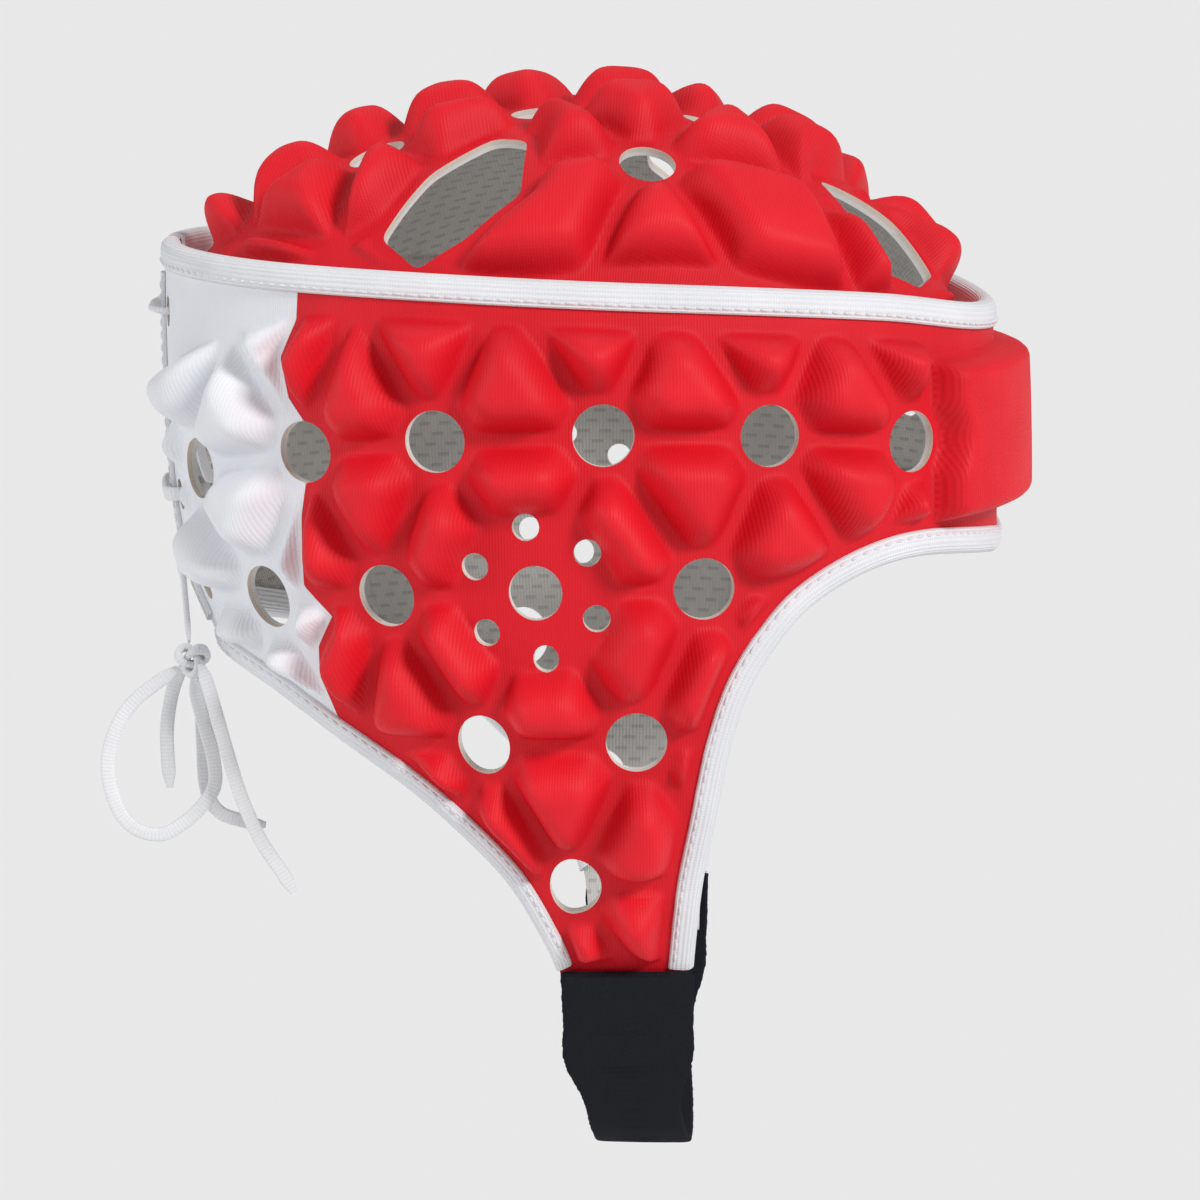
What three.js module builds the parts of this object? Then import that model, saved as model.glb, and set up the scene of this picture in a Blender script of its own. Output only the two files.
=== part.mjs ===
import * as THREE from "three";

// Rugby scrum cap. Millimetres, +X to the forehead, +Y to the wearer's left, +Z up.
// The origin is the top of the head, under the middle of the crown.

// Head that the cap fits: reach of the band's inside from the middle, at its widest
const bandFront = 97;
const bandRear = 100;
const bandSide = 75;
const flapDepth = 212; // from the top of the head down to the end of a flap

// Cloth and foam
const liningThick = 0.8;
const foamThick = 2.5;
const padRise = 7.5;
const padSlope = 5.6; // width of a pad's sloping side
const smallestPad = 45; // square millimetres
const clothGap = 0.3;
const seamGap = 0.35;

// Vent holes, one at each corner of the triangular pads
const ventRows = 4;
const ventRadius = 7.2;
const ventRim = 2.6; // flat ring between a vent and the pads
const firstVentAround = 7.2; // forward of the ear line, in the upper row
const firstVentDrop = 33.7; // below the top edge
const lastVentRise = 36; // above the end of the flap
const frontVentGap = 6.5; // behind the edge of the forehead pad
const rowLean = 3.8; // each lower row starts this much further forward
const rearDroop = 20; // how far the upper row sinks at the back of the head
const frontLift = 0.03;
const seamTuck = 5.4; // cloth taken up by the side seam
const channel = 4.4;

// Ear: a listening hole in a flat disc with a ring of small holes
const earRadius = 6.4;
const earFlat = 19.5;
const earHoles = 6;
const earHoleRadius = 3.2;
const earRing = 15.5;
const earTurn = 0.14;

// Forehead pad
const foreheadHalfWidth = 46;
const foreheadTopGap = 8.3; // below the top edge
const foreheadBottomGap = 5.8; // above the highest place of the face edge
const foreheadCorner = 5;

// Crown
const crownOverlap = 8; // crown cloth tucked inside the band
const crownPitch = 38.5;
const crownVentRadius = 6.8;
const crownTurn = 0.21; // how far the crown's rows of pads are turned from the middle line
const crownVentBack = 10;
const crownVentAside = 8;

// Bindings
const bindingLeg = 6.2;
const bindingThick = 1.1;
const bindingGap = 0.9; // between a leg and the panel

// Chin strap
const strapOverlap = 14; // how far the strap laps over the outside of each flap
const strapWidth = 34;
const strapChinWidth = 23;
const strapThick = 2.4;
const strapDrop = 255; // from the top of the head down to the strap under the chin
const strapChinForward = 14;
const strapStiffness = 18; // how far the strap keeps the flap's direction below it
const strapSag = 24; // how far it runs level on each side of the chin

// Lace
const laceThick = 2.6;
const laceSides = 8;
const eyelets = 4;
const eyeletInset = 8;
const eyeletLength = 9;
const eyeletWidth = 6;
const eyeletRim = 1.2; // flat cloth between an eyelet and the pads
const lacePull = 3; // how far beyond an eyelet the lace turns along the panel
const knotRadius = 4;
const knotPlace = new THREE.Vector3(-94.2, -32.8, -128.5);

// Mesh fineness
const edgeStep = 14;
const longestFacet = 30;
const ventSides = 8;
const smallHoleSides = 6;
const shortestSide = 0.8;
const straightTurn = 0.04; // sine of the least turn that counts as a corner

const cloth = (color, roughness) =>
  new THREE.MeshStandardMaterial({ color, roughness, metalness: 0 });
const redCloth = cloth(0xe0141f, 0.6);
const whiteCloth = cloth(0xf0f0f4, 0.6);
const greyLining = cloth(0xa59e9b, 0.85);
const whiteBinding = cloth(0xf4f4f8, 0.5);
const blackLoop = cloth(0x14161e, 0.95);
const whiteLace = cloth(0xf2f2f2, 0.7);

const panelFace = liningThick + clothGap; // inner face of the foam, from the band's inside
const panelOuter = panelFace + foamThick;

// Reach of the band at each level: down is a share of flapDepth, the rest of the reaches
const bandForm = [
  { down: 0.1, front: 0.94, rear: 1.01, side: 0.92 },
  { down: 0.14, front: 0.955, rear: 1.01, side: 0.94 },
  { down: 0.236, front: 0.985, rear: 1.01, side: 0.98 },
  { down: 0.377, front: 1, rear: 1, side: 1 },
  { down: 0.495, front: 1, rear: 0.975, side: 1 },
  { down: 0.566, front: 1, rear: 0.93, side: 0.99 },
  { down: 0.637, front: 1, rear: 0.876, side: 0.96 },
  { down: 0.778, front: 0.99, rear: 0.775, side: 0.85 },
  { down: 1, front: 0.97, rear: 0.65, side: 0.6 },
  { down: 1.2, front: 0.95, rear: 0.6, side: 0.35 },
];

// Top edge: around is a share of the way from the ear line to the middle of the back or front
const topEdge = [
  { around: -1, down: 0.146 },
  { around: -0.64, down: 0.15 },
  { around: -0.3, down: 0.153 },
  { around: 0, down: 0.159 },
  { around: 0.3, down: 0.168 },
  { around: 0.57, down: 0.183 },
  { around: 0.8, down: 0.205 },
  { around: 0.92, down: 0.212 },
  { around: 1, down: 0.213 },
];

// Edge of the face opening, from the end of the flap up to the middle of the forehead
const faceEdge = [
  { around: 0.193, down: 1 },
  { around: 0.195, down: 0.94 },
  { around: 0.211, down: 0.833 },
  { around: 0.2345, down: 0.75 },
  { around: 0.258, down: 0.67 },
  { around: 0.29, down: 0.604 },
  { around: 0.34, down: 0.552 },
  { around: 0.409, down: 0.507 },
  { around: 0.52, down: 0.474 },
  { around: 0.65, down: 0.464 },
  { around: 0.85, down: 0.478 },
  { around: 0.95, down: 0.487 },
  { around: 1, down: 0.488 },
];

// Lower edge behind the ear, from the nape down to the end of the flap
const napeEdge = [
  { around: -0.81, down: 0.594 },
  { around: -0.637, down: 0.6226 },
  { around: -0.471, down: 0.6745 },
  { around: -0.36, down: 0.7136 },
  { around: -0.266, down: 0.757 },
  { around: -0.154, down: 0.8226 },
  { around: -0.079, down: 0.895 },
  { around: -0.0455, down: 0.94 },
  { around: -0.03, down: 1 },
];
const napeSeamRow = 2; // the row of napeEdge where the side seam ends

// Laced edge at the back, from its top corner down to the nape
const lacedEdge = [
  { around: -0.972, down: 0.146 },
  { around: -0.968, down: 0.25 },
  { around: -0.955, down: 0.38 },
  { around: -0.9, down: 0.475 },
  { around: -0.81, down: 0.594 },
];

// Side seam between the red and the white cloth, above and below the vent that it crosses
const seamAboveVent = [
  { around: -0.478, down: 0.1515 },
  { around: -0.482, down: 0.204 },
  { around: -0.516, down: 0.247 },
  { around: -0.5, down: 0.29 },
];
const seamBelowVent = [
  { around: -0.482, down: 0.42 },
  { around: -0.49, down: 0.498 },
  { around: -0.44, down: 0.529 },
  { around: -0.485, down: 0.565 },
  { around: -0.5, down: 0.6 },
  { around: -0.471, down: 0.6745 },
];

// Windows in the crown: shares of the way from its middle to its rim
const rearWindow = [
  { along: -0.113, across: -0.345 },
  { along: -0.123, across: -0.6 },
  { along: -0.245, across: -0.74 },
  { along: -0.368, across: -0.81 },
  { along: -0.443, across: -0.667 },
  { along: -0.32, across: -0.452 },
  { along: -0.18, across: -0.31 },
];
const frontWindow = [
  { along: 0.5, across: -0.18 },
  { along: 0.574, across: -0.262 },
  { along: 0.722, across: -0.42 },
  { along: 0.815, across: -0.31 },
  { along: 0.833, across: -0.12 },
  { along: 0.7, across: 0.0 },
];

// Value of one column of a table at a place between its rows, on a smooth curve
function between(table, key, column, at) {
  const last = table.length - 1;
  let row = 0;
  while (row < last - 1 && at > table[row + 1][key]) row++;
  const start = table[row];
  const end = table[row + 1];
  const span = end[key] - start[key];
  const slope = (before, after) =>
    ((after[column] - before[column]) / (after[key] - before[key])) * span;
  const slopeIn = slope(table[Math.max(row - 1, 0)], end);
  const slopeOut = slope(start, table[Math.min(row + 2, last)]);
  const s = (at - start[key]) / span;
  return (
    start[column] * (2 * s ** 3 - 3 * s ** 2 + 1) +
    slopeIn * (s ** 3 - 2 * s ** 2 + s) +
    end[column] * (3 * s ** 2 - 2 * s ** 3) +
    slopeOut * (s ** 3 - s ** 2)
  );
}

// Quarter ways round the head at the widest level, from the ear line to the front and the back
const quarterTurn = Math.PI / 2;
const middleOfCloth = panelOuter / 2;
const quarterCurve = (reach) =>
  new THREE.EllipseCurve(
    0, 0, bandSide + middleOfCloth, reach + middleOfCloth, 0, quarterTurn,
  );
const frontCurve = quarterCurve(bandFront);
const rearCurve = quarterCurve(bandRear);
const frontWay = frontCurve.getLength();
const rearWay = rearCurve.getLength();

// Vents: the second one ahead of the first is behind the forehead pad
const foreheadRear = frontWay - foreheadHalfWidth;
const ventPitch = (foreheadRear - frontVentGap - firstVentAround) / 2;

// Angle from the ear line of a place measured round the band; it goes on past the forehead
function angleAt(around) {
  if (around > frontWay) return Math.PI - angleAt(2 * frontWay - around);
  const curve = around < 0 ? rearCurve : frontCurve;
  const share = Math.abs(around) / curve.getLength();
  return Math.sign(around) * curve.getUtoTmapping(Math.min(share, 1)) * quarterTurn;
}

// Point on the inside of the band, pulled in by a margin
function bandPoint(angle, level, margin = 0) {
  const down = -level / flapDepth;
  const reach = Math.sin(angle) < 0
    ? bandRear * between(bandForm, "down", "rear", down)
    : bandFront * between(bandForm, "down", "front", down);
  const side = bandSide * between(bandForm, "down", "side", down);
  return new THREE.Vector3(
    (reach - margin) * Math.sin(angle),
    -(side - margin) * Math.cos(angle),
    level,
  );
}

// A surface from its flat pattern: a point at x, y is lifted off it by out along its normal
function lifted(flatToSpace) {
  const step = 0.05;
  return (x, y, out) => {
    const point = flatToSpace(x, y);
    const alongX = flatToSpace(x + step, y).sub(flatToSpace(x - step, y));
    const alongY = flatToSpace(x, y + step).sub(flatToSpace(x, y - step));
    const normal = alongX.cross(alongY).normalize();
    return point.addScaledVector(normal, out);
  };
}

const onBand = lifted((around, level) => bandPoint(angleAt(around), level));

// Crown: a dome from the top of the head to a rim that sits inside the band
const crownOuter = panelOuter;
const crownMargin = crownOuter + clothGap + bindingGap + bindingThick;
const domeFront = 1.22; // angle of the dome's profile at its rim, in radians
const domeRear = 1.05;
const domeSide = 1.13;

const topLevel = (share) =>
  -flapDepth * between(topEdge, "around", "down", share);
const firstVentLevel = topLevel(0) - firstVentDrop;
const ventRowDrop = (flapDepth + firstVentLevel - lastVentRise) / (ventRows - 1);

const arcSteps = 90;
function shareOfAngle(angle) {
  const turn = Math.asin(Math.sin(angle)); // the left side folded onto the right
  const curve = turn < 0 ? rearCurve : frontCurve;
  const along = curve.getLengths(arcSteps);
  const place = Math.abs(turn) / quarterTurn * arcSteps;
  const low = Math.min(Math.floor(place), arcSteps - 1);
  const length = along[low] + (along[low + 1] - along[low]) * (place - low);
  return Math.sign(turn) * length / along[arcSteps];
}

function crownProfile(angle, share) {
  const level = topLevel(shareOfAngle(angle)) - crownOverlap;
  const rim = bandPoint(angle, level, crownMargin);
  const alongShare = Math.sin(angle) ** 2;
  const domeEnd = Math.sin(angle) < 0 ? domeRear : domeFront;
  const dome = domeSide + (domeEnd - domeSide) * alongShare;
  const reach = Math.sin(share * dome) / Math.sin(dome);
  const drop = (1 - Math.cos(share * dome)) / (1 - Math.cos(dome));
  return new THREE.Vector3(rim.x * reach, rim.y * reach, rim.z * drop);
}

function profileLength(angle) {
  const steps = 24;
  let length = 0;
  for (let step = 0; step < steps; step++) {
    const from = crownProfile(angle, step / steps);
    length += crownProfile(angle, (step + 1) / steps).distanceTo(from);
  }
  return length;
}
const crownFrontWay = profileLength(quarterTurn);
const crownRearWay = profileLength(-quarterTurn);
const crownSideWay = profileLength(0);

const onCrown = lifted((along, across) => {
  const x = along / (along < 0 ? crownRearWay : crownFrontWay);
  const y = across / crownSideWay;
  return crownProfile(Math.atan2(x, -y), Math.hypot(x, y));
});

// Flat outlines and polygons
const flat = (x, y) => new THREE.Vector2(x, y);

function placed(row) {
  const way = row.around < 0 ? rearWay : frontWay;
  return flat(row.around * way, -row.down * flapDepth);
}

function smoothLine(points, step = edgeStep) {
  const curve = new THREE.SplineCurve(points);
  return curve.getSpacedPoints(Math.max(1, Math.round(curve.getLength() / step)));
}

function circle(centre, radius, sides, turn = 0) {
  return Array.from({ length: sides }, (_, side) => {
    const angle = turn + (side / sides) * 2 * Math.PI;
    return flat(
      centre.x + radius * Math.cos(angle),
      centre.y + radius * Math.sin(angle),
    );
  });
}

const mirrorAround = (point) => flat(2 * frontWay - point.x, point.y);
const area = (polygon) => THREE.ShapeUtils.area(polygon);

function centreOf(polygon) {
  const sum = polygon.reduce((total, point) => total.add(point), flat(0, 0));
  return sum.divideScalar(polygon.length);
}

// A closed outline with each of its sides moved inwards by its own margin
function inset(outline, margins) {
  return outline.map((point, place) => {
    const into = point.clone().sub(outline.at(place - 1)).normalize();
    const out = outline[(place + 1) % outline.length].clone().sub(point).normalize();
    const turn = into.cross(out);
    if (Math.abs(turn) < straightTurn)
      return point.clone().addScaledVector(flat(-out.y, out.x), margins[place]);
    return point.clone()
      .addScaledVector(out, margins.at(place - 1) / turn)
      .addScaledVector(into, -margins[place] / turn);
  });
}

// Part of a polygon on the far side of a line, given by a point on it and its normal
function cut(polygon, point, normal) {
  const side = (corner) => corner.clone().sub(point).dot(normal);
  const kept = [];
  polygon.forEach((corner, place) => {
    const next = polygon[(place + 1) % polygon.length];
    const here = side(corner);
    const there = side(next);
    if (here >= 0) kept.push(corner);
    if (here * there < 0) kept.push(corner.clone().lerp(next, here / (here - there)));
  });
  return kept;
}

// Part of an outline inside a convex polygon
function inside(outline, polygon) {
  return polygon.reduce((kept, corner, place) => {
    const along = polygon[(place + 1) % polygon.length].clone().sub(corner);
    return cut(kept, corner, flat(-along.y, along.x).normalize());
  }, outline);
}

// Triangles of a flat face with holes, all turned the same way
function triangulated([contour, ...holes]) {
  const corners = [contour, ...holes].flat();
  const triangles = THREE.ShapeUtils.triangulateShape(contour, holes);
  const turned = triangles.reduce((sum, triangle) =>
    sum + area(triangle.map((place) => corners[place])), 0);
  return triangles.map((triangle) => (turned > 0 ? triangle : triangle.toReversed()));
}

// Closed solid from a flat pattern: a sheet with holes and raised pads, wrapped on a surface
function wrappedSheet({ surface, outline, holes, pads = [], from, to }) {
  const points = [];
  const triangles = [];
  const flatFaces = [];
  const addRing = (ring, out) =>
    ring.map((point) => points.push([point.x, point.y, out]) - 1);
  const addFace = (rings, up) => {
    const flatRings = rings.map((ring) =>
      ring.map((corner) => flat(points[corner][0], points[corner][1])));
    const corners = rings.flat();
    const face = triangulated(flatRings).map((triangle) =>
      triangle.map((place) => corners[place]));
    flipToShortEdges(points, face);
    flatFaces.push(...face.map((triangle) => (up ? triangle : triangle.toReversed())));
  };
  const addWall = (lower, upper) => {
    lower.forEach((corner, place) => {
      const next = (place + 1) % lower.length;
      triangles.push([corner, lower[next], upper[next]], [corner, upper[next], upper[place]]);
    });
  };
  const innerRings = [addRing(outline, from)];
  const outerRings = [addRing(outline, to)];
  addWall(innerRings[0], outerRings[0]);
  for (const hole of holes) {
    const inner = addRing(hole, from);
    const outer = addRing(hole, to);
    addWall(inner.toReversed(), outer.toReversed());
    innerRings.push(inner);
    outerRings.push(outer);
  }
  for (const pad of pads) {
    const foot = addRing(pad.foot, to);
    const top = addRing(pad.top, to + pad.rise);
    addWall(foot, top);
    outerRings.push(foot);
    addFace([top], true);
  }
  addFace(innerRings, false);
  addFace(outerRings, true);
  triangles.push(...flatFaces);
  splitLongEdges(points, triangles);
  return solid(points.map(([x, y, out]) => surface(x, y, out)), triangles);
}

function turnOf(points, [a, b, c]) {
  const [ax, ay] = points[a];
  const [bx, by] = points[b];
  const [cx, cy] = points[c];
  const turn = (bx - ax) * (cy - ay) - (by - ay) * (cx - ax);
  return Math.abs(turn) < 1e-7 ? 0 : turn;
}

// Swap the diagonal of each pair of flat triangles for the better one, so that facets stay short
function flipToShortEdges(points, face) {
  const inCircle = (a, b, c, d) => {
    const [m, n, o] = [a, b, c].map((corner) => {
      const x = points[corner][0] - points[d][0];
      const y = points[corner][1] - points[d][1];
      return [x, y, x * x + y * y];
    });
    return (
      m[0] * (n[1] * o[2] - n[2] * o[1]) -
      m[1] * (n[0] * o[2] - n[2] * o[0]) +
      m[2] * (n[0] * o[1] - n[1] * o[0])
    );
  };
  const mostPasses = 40;
  for (let pass = 0; pass < mostPasses; pass++) {
    const owners = new Map();
    face.forEach((triangle, place) => {
      triangle.forEach((corner, side) => {
        owners.set(`${corner},${triangle[(side + 1) % 3]}`, place);
      });
    });
    const busy = new Set();
    face.forEach((triangle, place) => {
      for (let side = 0; side < 3 && !busy.has(place); side++) {
        const a = triangle[side];
        const b = triangle[(side + 1) % 3];
        const c = triangle[(side + 2) % 3];
        const other = owners.get(`${b},${a}`);
        if (other === undefined || busy.has(other)) continue;
        const d = face[other].find((corner) => corner !== a && corner !== b);
        const first = [c, a, d];
        const second = [c, d, b];
        if (turnOf(points, first) <= 0 || turnOf(points, second) <= 0) continue;
        const isFlatLine = turnOf(points, triangle) === 0;
        if (!isFlatLine && inCircle(a, b, c, d) <= 1e-3) continue;
        face[place] = first;
        face[other] = second;
        busy.add(place).add(other);
      }
    });
    if (busy.size === 0) return;
  }
}

// Halve each edge that is too long for the curve of the head, in all the triangles that share it
function splitLongEdges(points, triangles) {
  const length = (a, b) =>
    Math.hypot(points[a][0] - points[b][0], points[a][1] - points[b][1]);
  for (let changed = true; changed; ) {
    changed = false;
    const middles = new Map();
    const middleOf = (a, b) => {
      const key = a < b ? `${a},${b}` : `${b},${a}`;
      if (!middles.has(key) && length(a, b) > longestFacet)
        middles.set(key, points.push(points[a].map((v, i) => (v + points[b][i]) / 2)) - 1);
      return middles.get(key);
    };
    for (const triangle of triangles.splice(0)) {
      const longest = [0, 1, 2].reduce((best, side) =>
        (length(triangle[side], triangle[(side + 1) % 3]) >
          length(triangle[best], triangle[(best + 1) % 3]) ? side : best), 0);
      const [a, b, c] = [0, 1, 2].map((step) => triangle[(longest + step) % 3]);
      const [ab, bc, ca] = [middleOf(a, b), middleOf(b, c), middleOf(c, a)];
      if (ab === undefined) {
        triangles.push(triangle);
        continue;
      }
      changed = true;
      if (bc === undefined) triangles.push([ab, b, c]);
      else triangles.push([ab, b, bc], [ab, bc, c]);
      if (ca === undefined) triangles.push([a, ab, c]);
      else triangles.push([ab, c, ca], [ab, ca, a]);
    }
  }
}

function solid(positions, triangles) {
  const geometry = new THREE.BufferGeometry().setFromPoints(positions);
  geometry.setIndex(triangles.flat());
  geometry.computeVertexNormals();
  return geometry;
}

// Solid swept through rings of points, closed by a flat cap at each end
function sweptRings(rings, section) {
  const count = section.length;
  const triangles = [];
  for (let ring = 0; ring + 1 < rings.length; ring++) {
    for (let corner = 0; corner < count; corner++) {
      const next = (corner + 1) % count;
      const [a, b] = [ring * count + corner, ring * count + next];
      triangles.push([a, b, b + count], [a, b + count, a + count]);
    }
  }
  const last = (rings.length - 1) * count;
  for (const [a, b, c] of triangulated([section]))
    triangles.push([c, b, a], [last + a, last + b, last + c]);
  return solid(rings.flat(), triangles);
}

// Pads
function raisedPad(foot) {
  const size = Math.abs(area(foot));
  if (foot.length < 3 || size < smallestPad) return undefined;
  const round = foot.reduce((sum, corner, place) =>
    sum + corner.distanceTo(foot[(place + 1) % foot.length]), 0);
  const inner = (2 * size) / round;
  const share = Math.max(0.3, 1 - padSlope / inner);
  const centre = centreOf(foot);
  const fullInner = ventPitch * 0.22;
  return {
    foot,
    top: foot.map((corner) => centre.clone().lerp(corner, share)),
    rise: padRise * Math.min(1, Math.sqrt(inner / fullInner)),
  };
}

// Foot of the pad between three vents: a triangle with channels round it and its corners cut
function footBetween(corners, clearances) {
  const centre = centreOf(corners);
  let foot = corners;
  corners.forEach((corner, place) => {
    const along = corners[(place + 1) % corners.length].clone().sub(corner).normalize();
    const normal = flat(-along.y, along.x);
    foot = cut(foot, corner.clone().addScaledVector(normal, channel / 2), normal);
  });
  corners.forEach((corner, place) => {
    const inwards = centre.clone().sub(corner).normalize();
    foot = cut(foot, corner.clone().addScaledVector(inwards, clearances[place]), inwards);
  });
  return foot;
}

// A polygon without its shortest sides and without corners that are nearly straight
function tidied(polygon) {
  const spread = polygon.filter((corner, place) =>
    corner.distanceTo(polygon.at(place - 1)) > shortestSide);
  return spread.filter((corner, place) => {
    const into = corner.clone().sub(spread.at(place - 1)).normalize();
    const out = spread[(place + 1) % spread.length].clone().sub(corner).normalize();
    return Math.abs(into.cross(out)) > straightTurn;
  });
}

// Place of a vent on the band: rows run round the head, and lower rows lean forward
function ventPlace(row, column) {
  const fromFirst = row * (rowLean - ventPitch / 2) + column * ventPitch;
  const around = firstVentAround + fromFirst;
  const tuckStart = firstVentAround - ventPitch;
  const tucked = THREE.MathUtils.clamp((tuckStart - around) / ventPitch, 0, 1) * seamTuck;
  const place = around + tucked;
  const droop = rearDroop * Math.max(0, 1 - row / 2) * (place / rearWay) ** 2;
  return flat(place, firstVentLevel - row * ventRowDrop - droop + frontLift * place);
}

const earPlace = ventPlace(1, 0);
const seamVent = ventPlace(0, -2);
const ventTable = [
  { row: 0, columns: [-3, -2, -1, 0, 1, 2] },
  { row: 1, columns: [-2, -1, 0, 1] },
  { row: 2, columns: [0, 1] },
  { row: 3, columns: [1] },
];
const isEar = (row, column) => row === 1 && column === 0;
const ventClearance = (row, column) =>
  isEar(row, column) ? earFlat : ventRadius + ventRim;

// Feet of all the pads on the right half of the band
function bandFeet() {
  const feet = [];
  for (let row = -1; row <= 4; row++) {
    for (let column = -4; column <= 5; column++) {
      const here = [row, column];
      const right = [row, column + 1];
      const below = [row + 1, column + 1];
      const belowLeft = [row + 1, column];
      for (const corners of [[here, below, right], [here, belowLeft, below]]) {
        const places = corners.map(([r, c]) => ventPlace(r, c));
        feet.push(footBetween(places, corners.map(([r, c]) => ventClearance(r, c))));
      }
    }
  }
  return feet;
}

// Right half of the band, in its flat pattern
const topPoint = (around) =>
  flat(around, topLevel(around / (around < 0 ? rearWay : frontWay)));

function topLine(from, to) {
  const steps = Math.round((to - from) / edgeStep);
  return Array.from({ length: steps + 1 }, (_, step) =>
    topPoint(from + ((to - from) * step) / steps));
}

// The side seam from top to bottom: it goes round the vent on the side that the cloth is cut away
function seamLine(forwardSide) {
  const arcSteps = ventSides / 2;
  const arc = Array.from({ length: arcSteps + 1 }, (_, step) => {
    const angle = quarterTurn - (forwardSide ? 1 : -1) * (step / arcSteps) * Math.PI;
    return flat(
      seamVent.x + ventRadius * Math.cos(angle),
      seamVent.y + ventRadius * Math.sin(angle),
    );
  });
  const shift = (forwardSide ? seamGap : -seamGap) / 2;
  const above = seamAboveVent.map(placed);
  const below = seamBelowVent.map(placed);
  above[0].y = topPoint(above[0].x).y;
  return [...above, ...arc, ...below].map((point) => flat(point.x + shift, point.y));
}

const seamFront = seamLine(true);
const seamRear = seamLine(false);
const napePlaces = napeEdge.map(placed);
const napeRed = smoothLine([seamFront.at(-1), ...napePlaces.slice(napeSeamRow + 1)]);
const napeWhite = smoothLine([...napePlaces.slice(0, napeSeamRow), seamRear.at(-1)]);
const faceLine = smoothLine(faceEdge.map(placed));
const lacedLine = smoothLine(lacedEdge.map(placed));
const flapEnd = [napeRed.at(-1), faceLine[0]];
const topRed = topLine(seamFront[0].x, frontWay);
const topWhite = topLine(lacedLine[0].x, seamRear[0].x);

const edgeMargin = bindingLeg + 2.2;
const seamMargin = 1.6;
const strapMargin = strapOverlap + 2.2;

// One closed outline with its inset, from sides that each have their own margin. A corner where
// two sides meet is kept once and starts the second one.
function outlineOf(sides) {
  const outline = [];
  const margins = [];
  for (const { line, margin } of sides) {
    for (const point of line) {
      if (outline.length > 0 && point.distanceTo(outline.at(-1)) < shortestSide) {
        margins[margins.length - 1] = margin;
        continue;
      }
      outline.push(point);
      margins.push(margin);
    }
  }
  if (outline[0].distanceTo(outline.at(-1)) < shortestSide) {
    outline.pop();
    margins.pop();
  }
  return { outline, room: inset(outline, margins) };
}

const redSides = [
  { line: seamFront, margin: seamMargin },
  { line: napeRed, margin: edgeMargin },
  { line: flapEnd, margin: edgeMargin },
  { line: faceLine, margin: edgeMargin },
];
const leftOf = (sides) =>
  sides.toReversed().map(({ line, margin }) =>
    ({ line: line.toReversed().map(mirrorAround), margin }));
const red = outlineOf([
  ...redSides,
  ...leftOf(redSides),
  { line: topRed.map(mirrorAround), margin: edgeMargin },
  { line: topRed.toReversed(), margin: edgeMargin },
]);
const whiteSides = [
  { line: lacedLine, margin: edgeMargin + eyeletWidth + eyeletRim },
  { line: napeWhite, margin: edgeMargin },
  { line: seamRear.toReversed(), margin: seamMargin },
  { line: topWhite.toReversed(), margin: edgeMargin },
];
const white = outlineOf(whiteSides);

const isRed = (centre) => {
  const share = -centre.y / flapDepth;
  const seam = [...seamAboveVent, ...seamBelowVent];
  return centre.x > rearWay * between(seam, "down", "around", share);
};

// Forehead pad: a rounded rectangle, notched round the nearest vent of each side
const frontVent = ventPlace(0, 2);
const foreheadTop = topLevel(1) - foreheadTopGap;
const foreheadBottom = Math.max(...faceLine.map((point) => point.y)) + foreheadBottomGap;

function foreheadSide() {
  const reach = ventRadius + ventRim;
  const half = Math.acos(THREE.MathUtils.clamp((foreheadRear - frontVent.x) / reach, -1, 1));
  const notchSteps = 4;
  const notch = Array.from({ length: notchSteps + 1 }, (_, step) => {
    const angle = half - (2 * half * step) / notchSteps;
    return flat(
      frontVent.x + reach * Math.cos(angle),
      frontVent.y + reach * Math.sin(angle),
    );
  });
  return [
    flat(foreheadRear + foreheadCorner, foreheadTop),
    flat(foreheadRear, foreheadTop - foreheadCorner),
    ...notch,
    flat(foreheadRear, foreheadBottom + foreheadCorner),
    flat(foreheadRear + foreheadCorner, foreheadBottom),
  ];
}
const foreheadFoot = [
  ...foreheadSide(),
  ...foreheadSide().toReversed().map(mirrorAround),
];

const behindForehead = flat(foreheadRear - channel, 0);
const aboveStrap = flat(0, strapMargin - flapDepth);
const sortedFeet = bandFeet().filter((foot) => foot.length > 2);
const redPads = sortedFeet
  .filter((foot) => isRed(centreOf(foot)) && centreOf(foot).x < foreheadRear)
  .map((foot) => cut(foot, behindForehead, flat(-1, 0)))
  .map((foot) => cut(foot, aboveStrap, flat(0, 1)))
  .filter((foot) => foot.length > 2)
  .map((foot) => tidied(inside(red.room, foot)))
  .map(raisedPad)
  .filter(Boolean);
const whitePads = sortedFeet
  .filter((foot) => !isRed(centreOf(foot)))
  .map((foot) => tidied(inside(white.room, foot)))
  .map(raisedPad)
  .filter(Boolean);
const mirroredPad = (pad) => ({
  foot: pad.foot.toReversed().map(mirrorAround),
  top: pad.top.toReversed().map(mirrorAround),
  rise: pad.rise,
});

// Vents and ear holes of the right half
const redHoles = [];
const whiteHoles = [];
for (const { row, columns } of ventTable) {
  for (const column of columns) {
    const place = ventPlace(row, column);
    if (place.distanceTo(seamVent) < 1) continue;
    if (isEar(row, column)) {
      redHoles.push(circle(place, earRadius, ventSides));
      for (let hole = 0; hole < earHoles; hole++) {
        const angle = quarterTurn + earTurn + (hole / earHoles) * 2 * Math.PI;
        const [centre] = circle(place, earRing, 1, angle);
        redHoles.push(circle(centre, earHoleRadius, smallHoleSides));
      }
      continue;
    }
    (isRed(place) ? redHoles : whiteHoles).push(circle(place, ventRadius, ventSides));
  }
}

// Eyelets: slots along the laced edge
const lacedCurve = new THREE.SplineCurve(lacedLine);
const eyeletShare = (number) => (number + 0.7) / (eyelets + 0.5);

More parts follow.
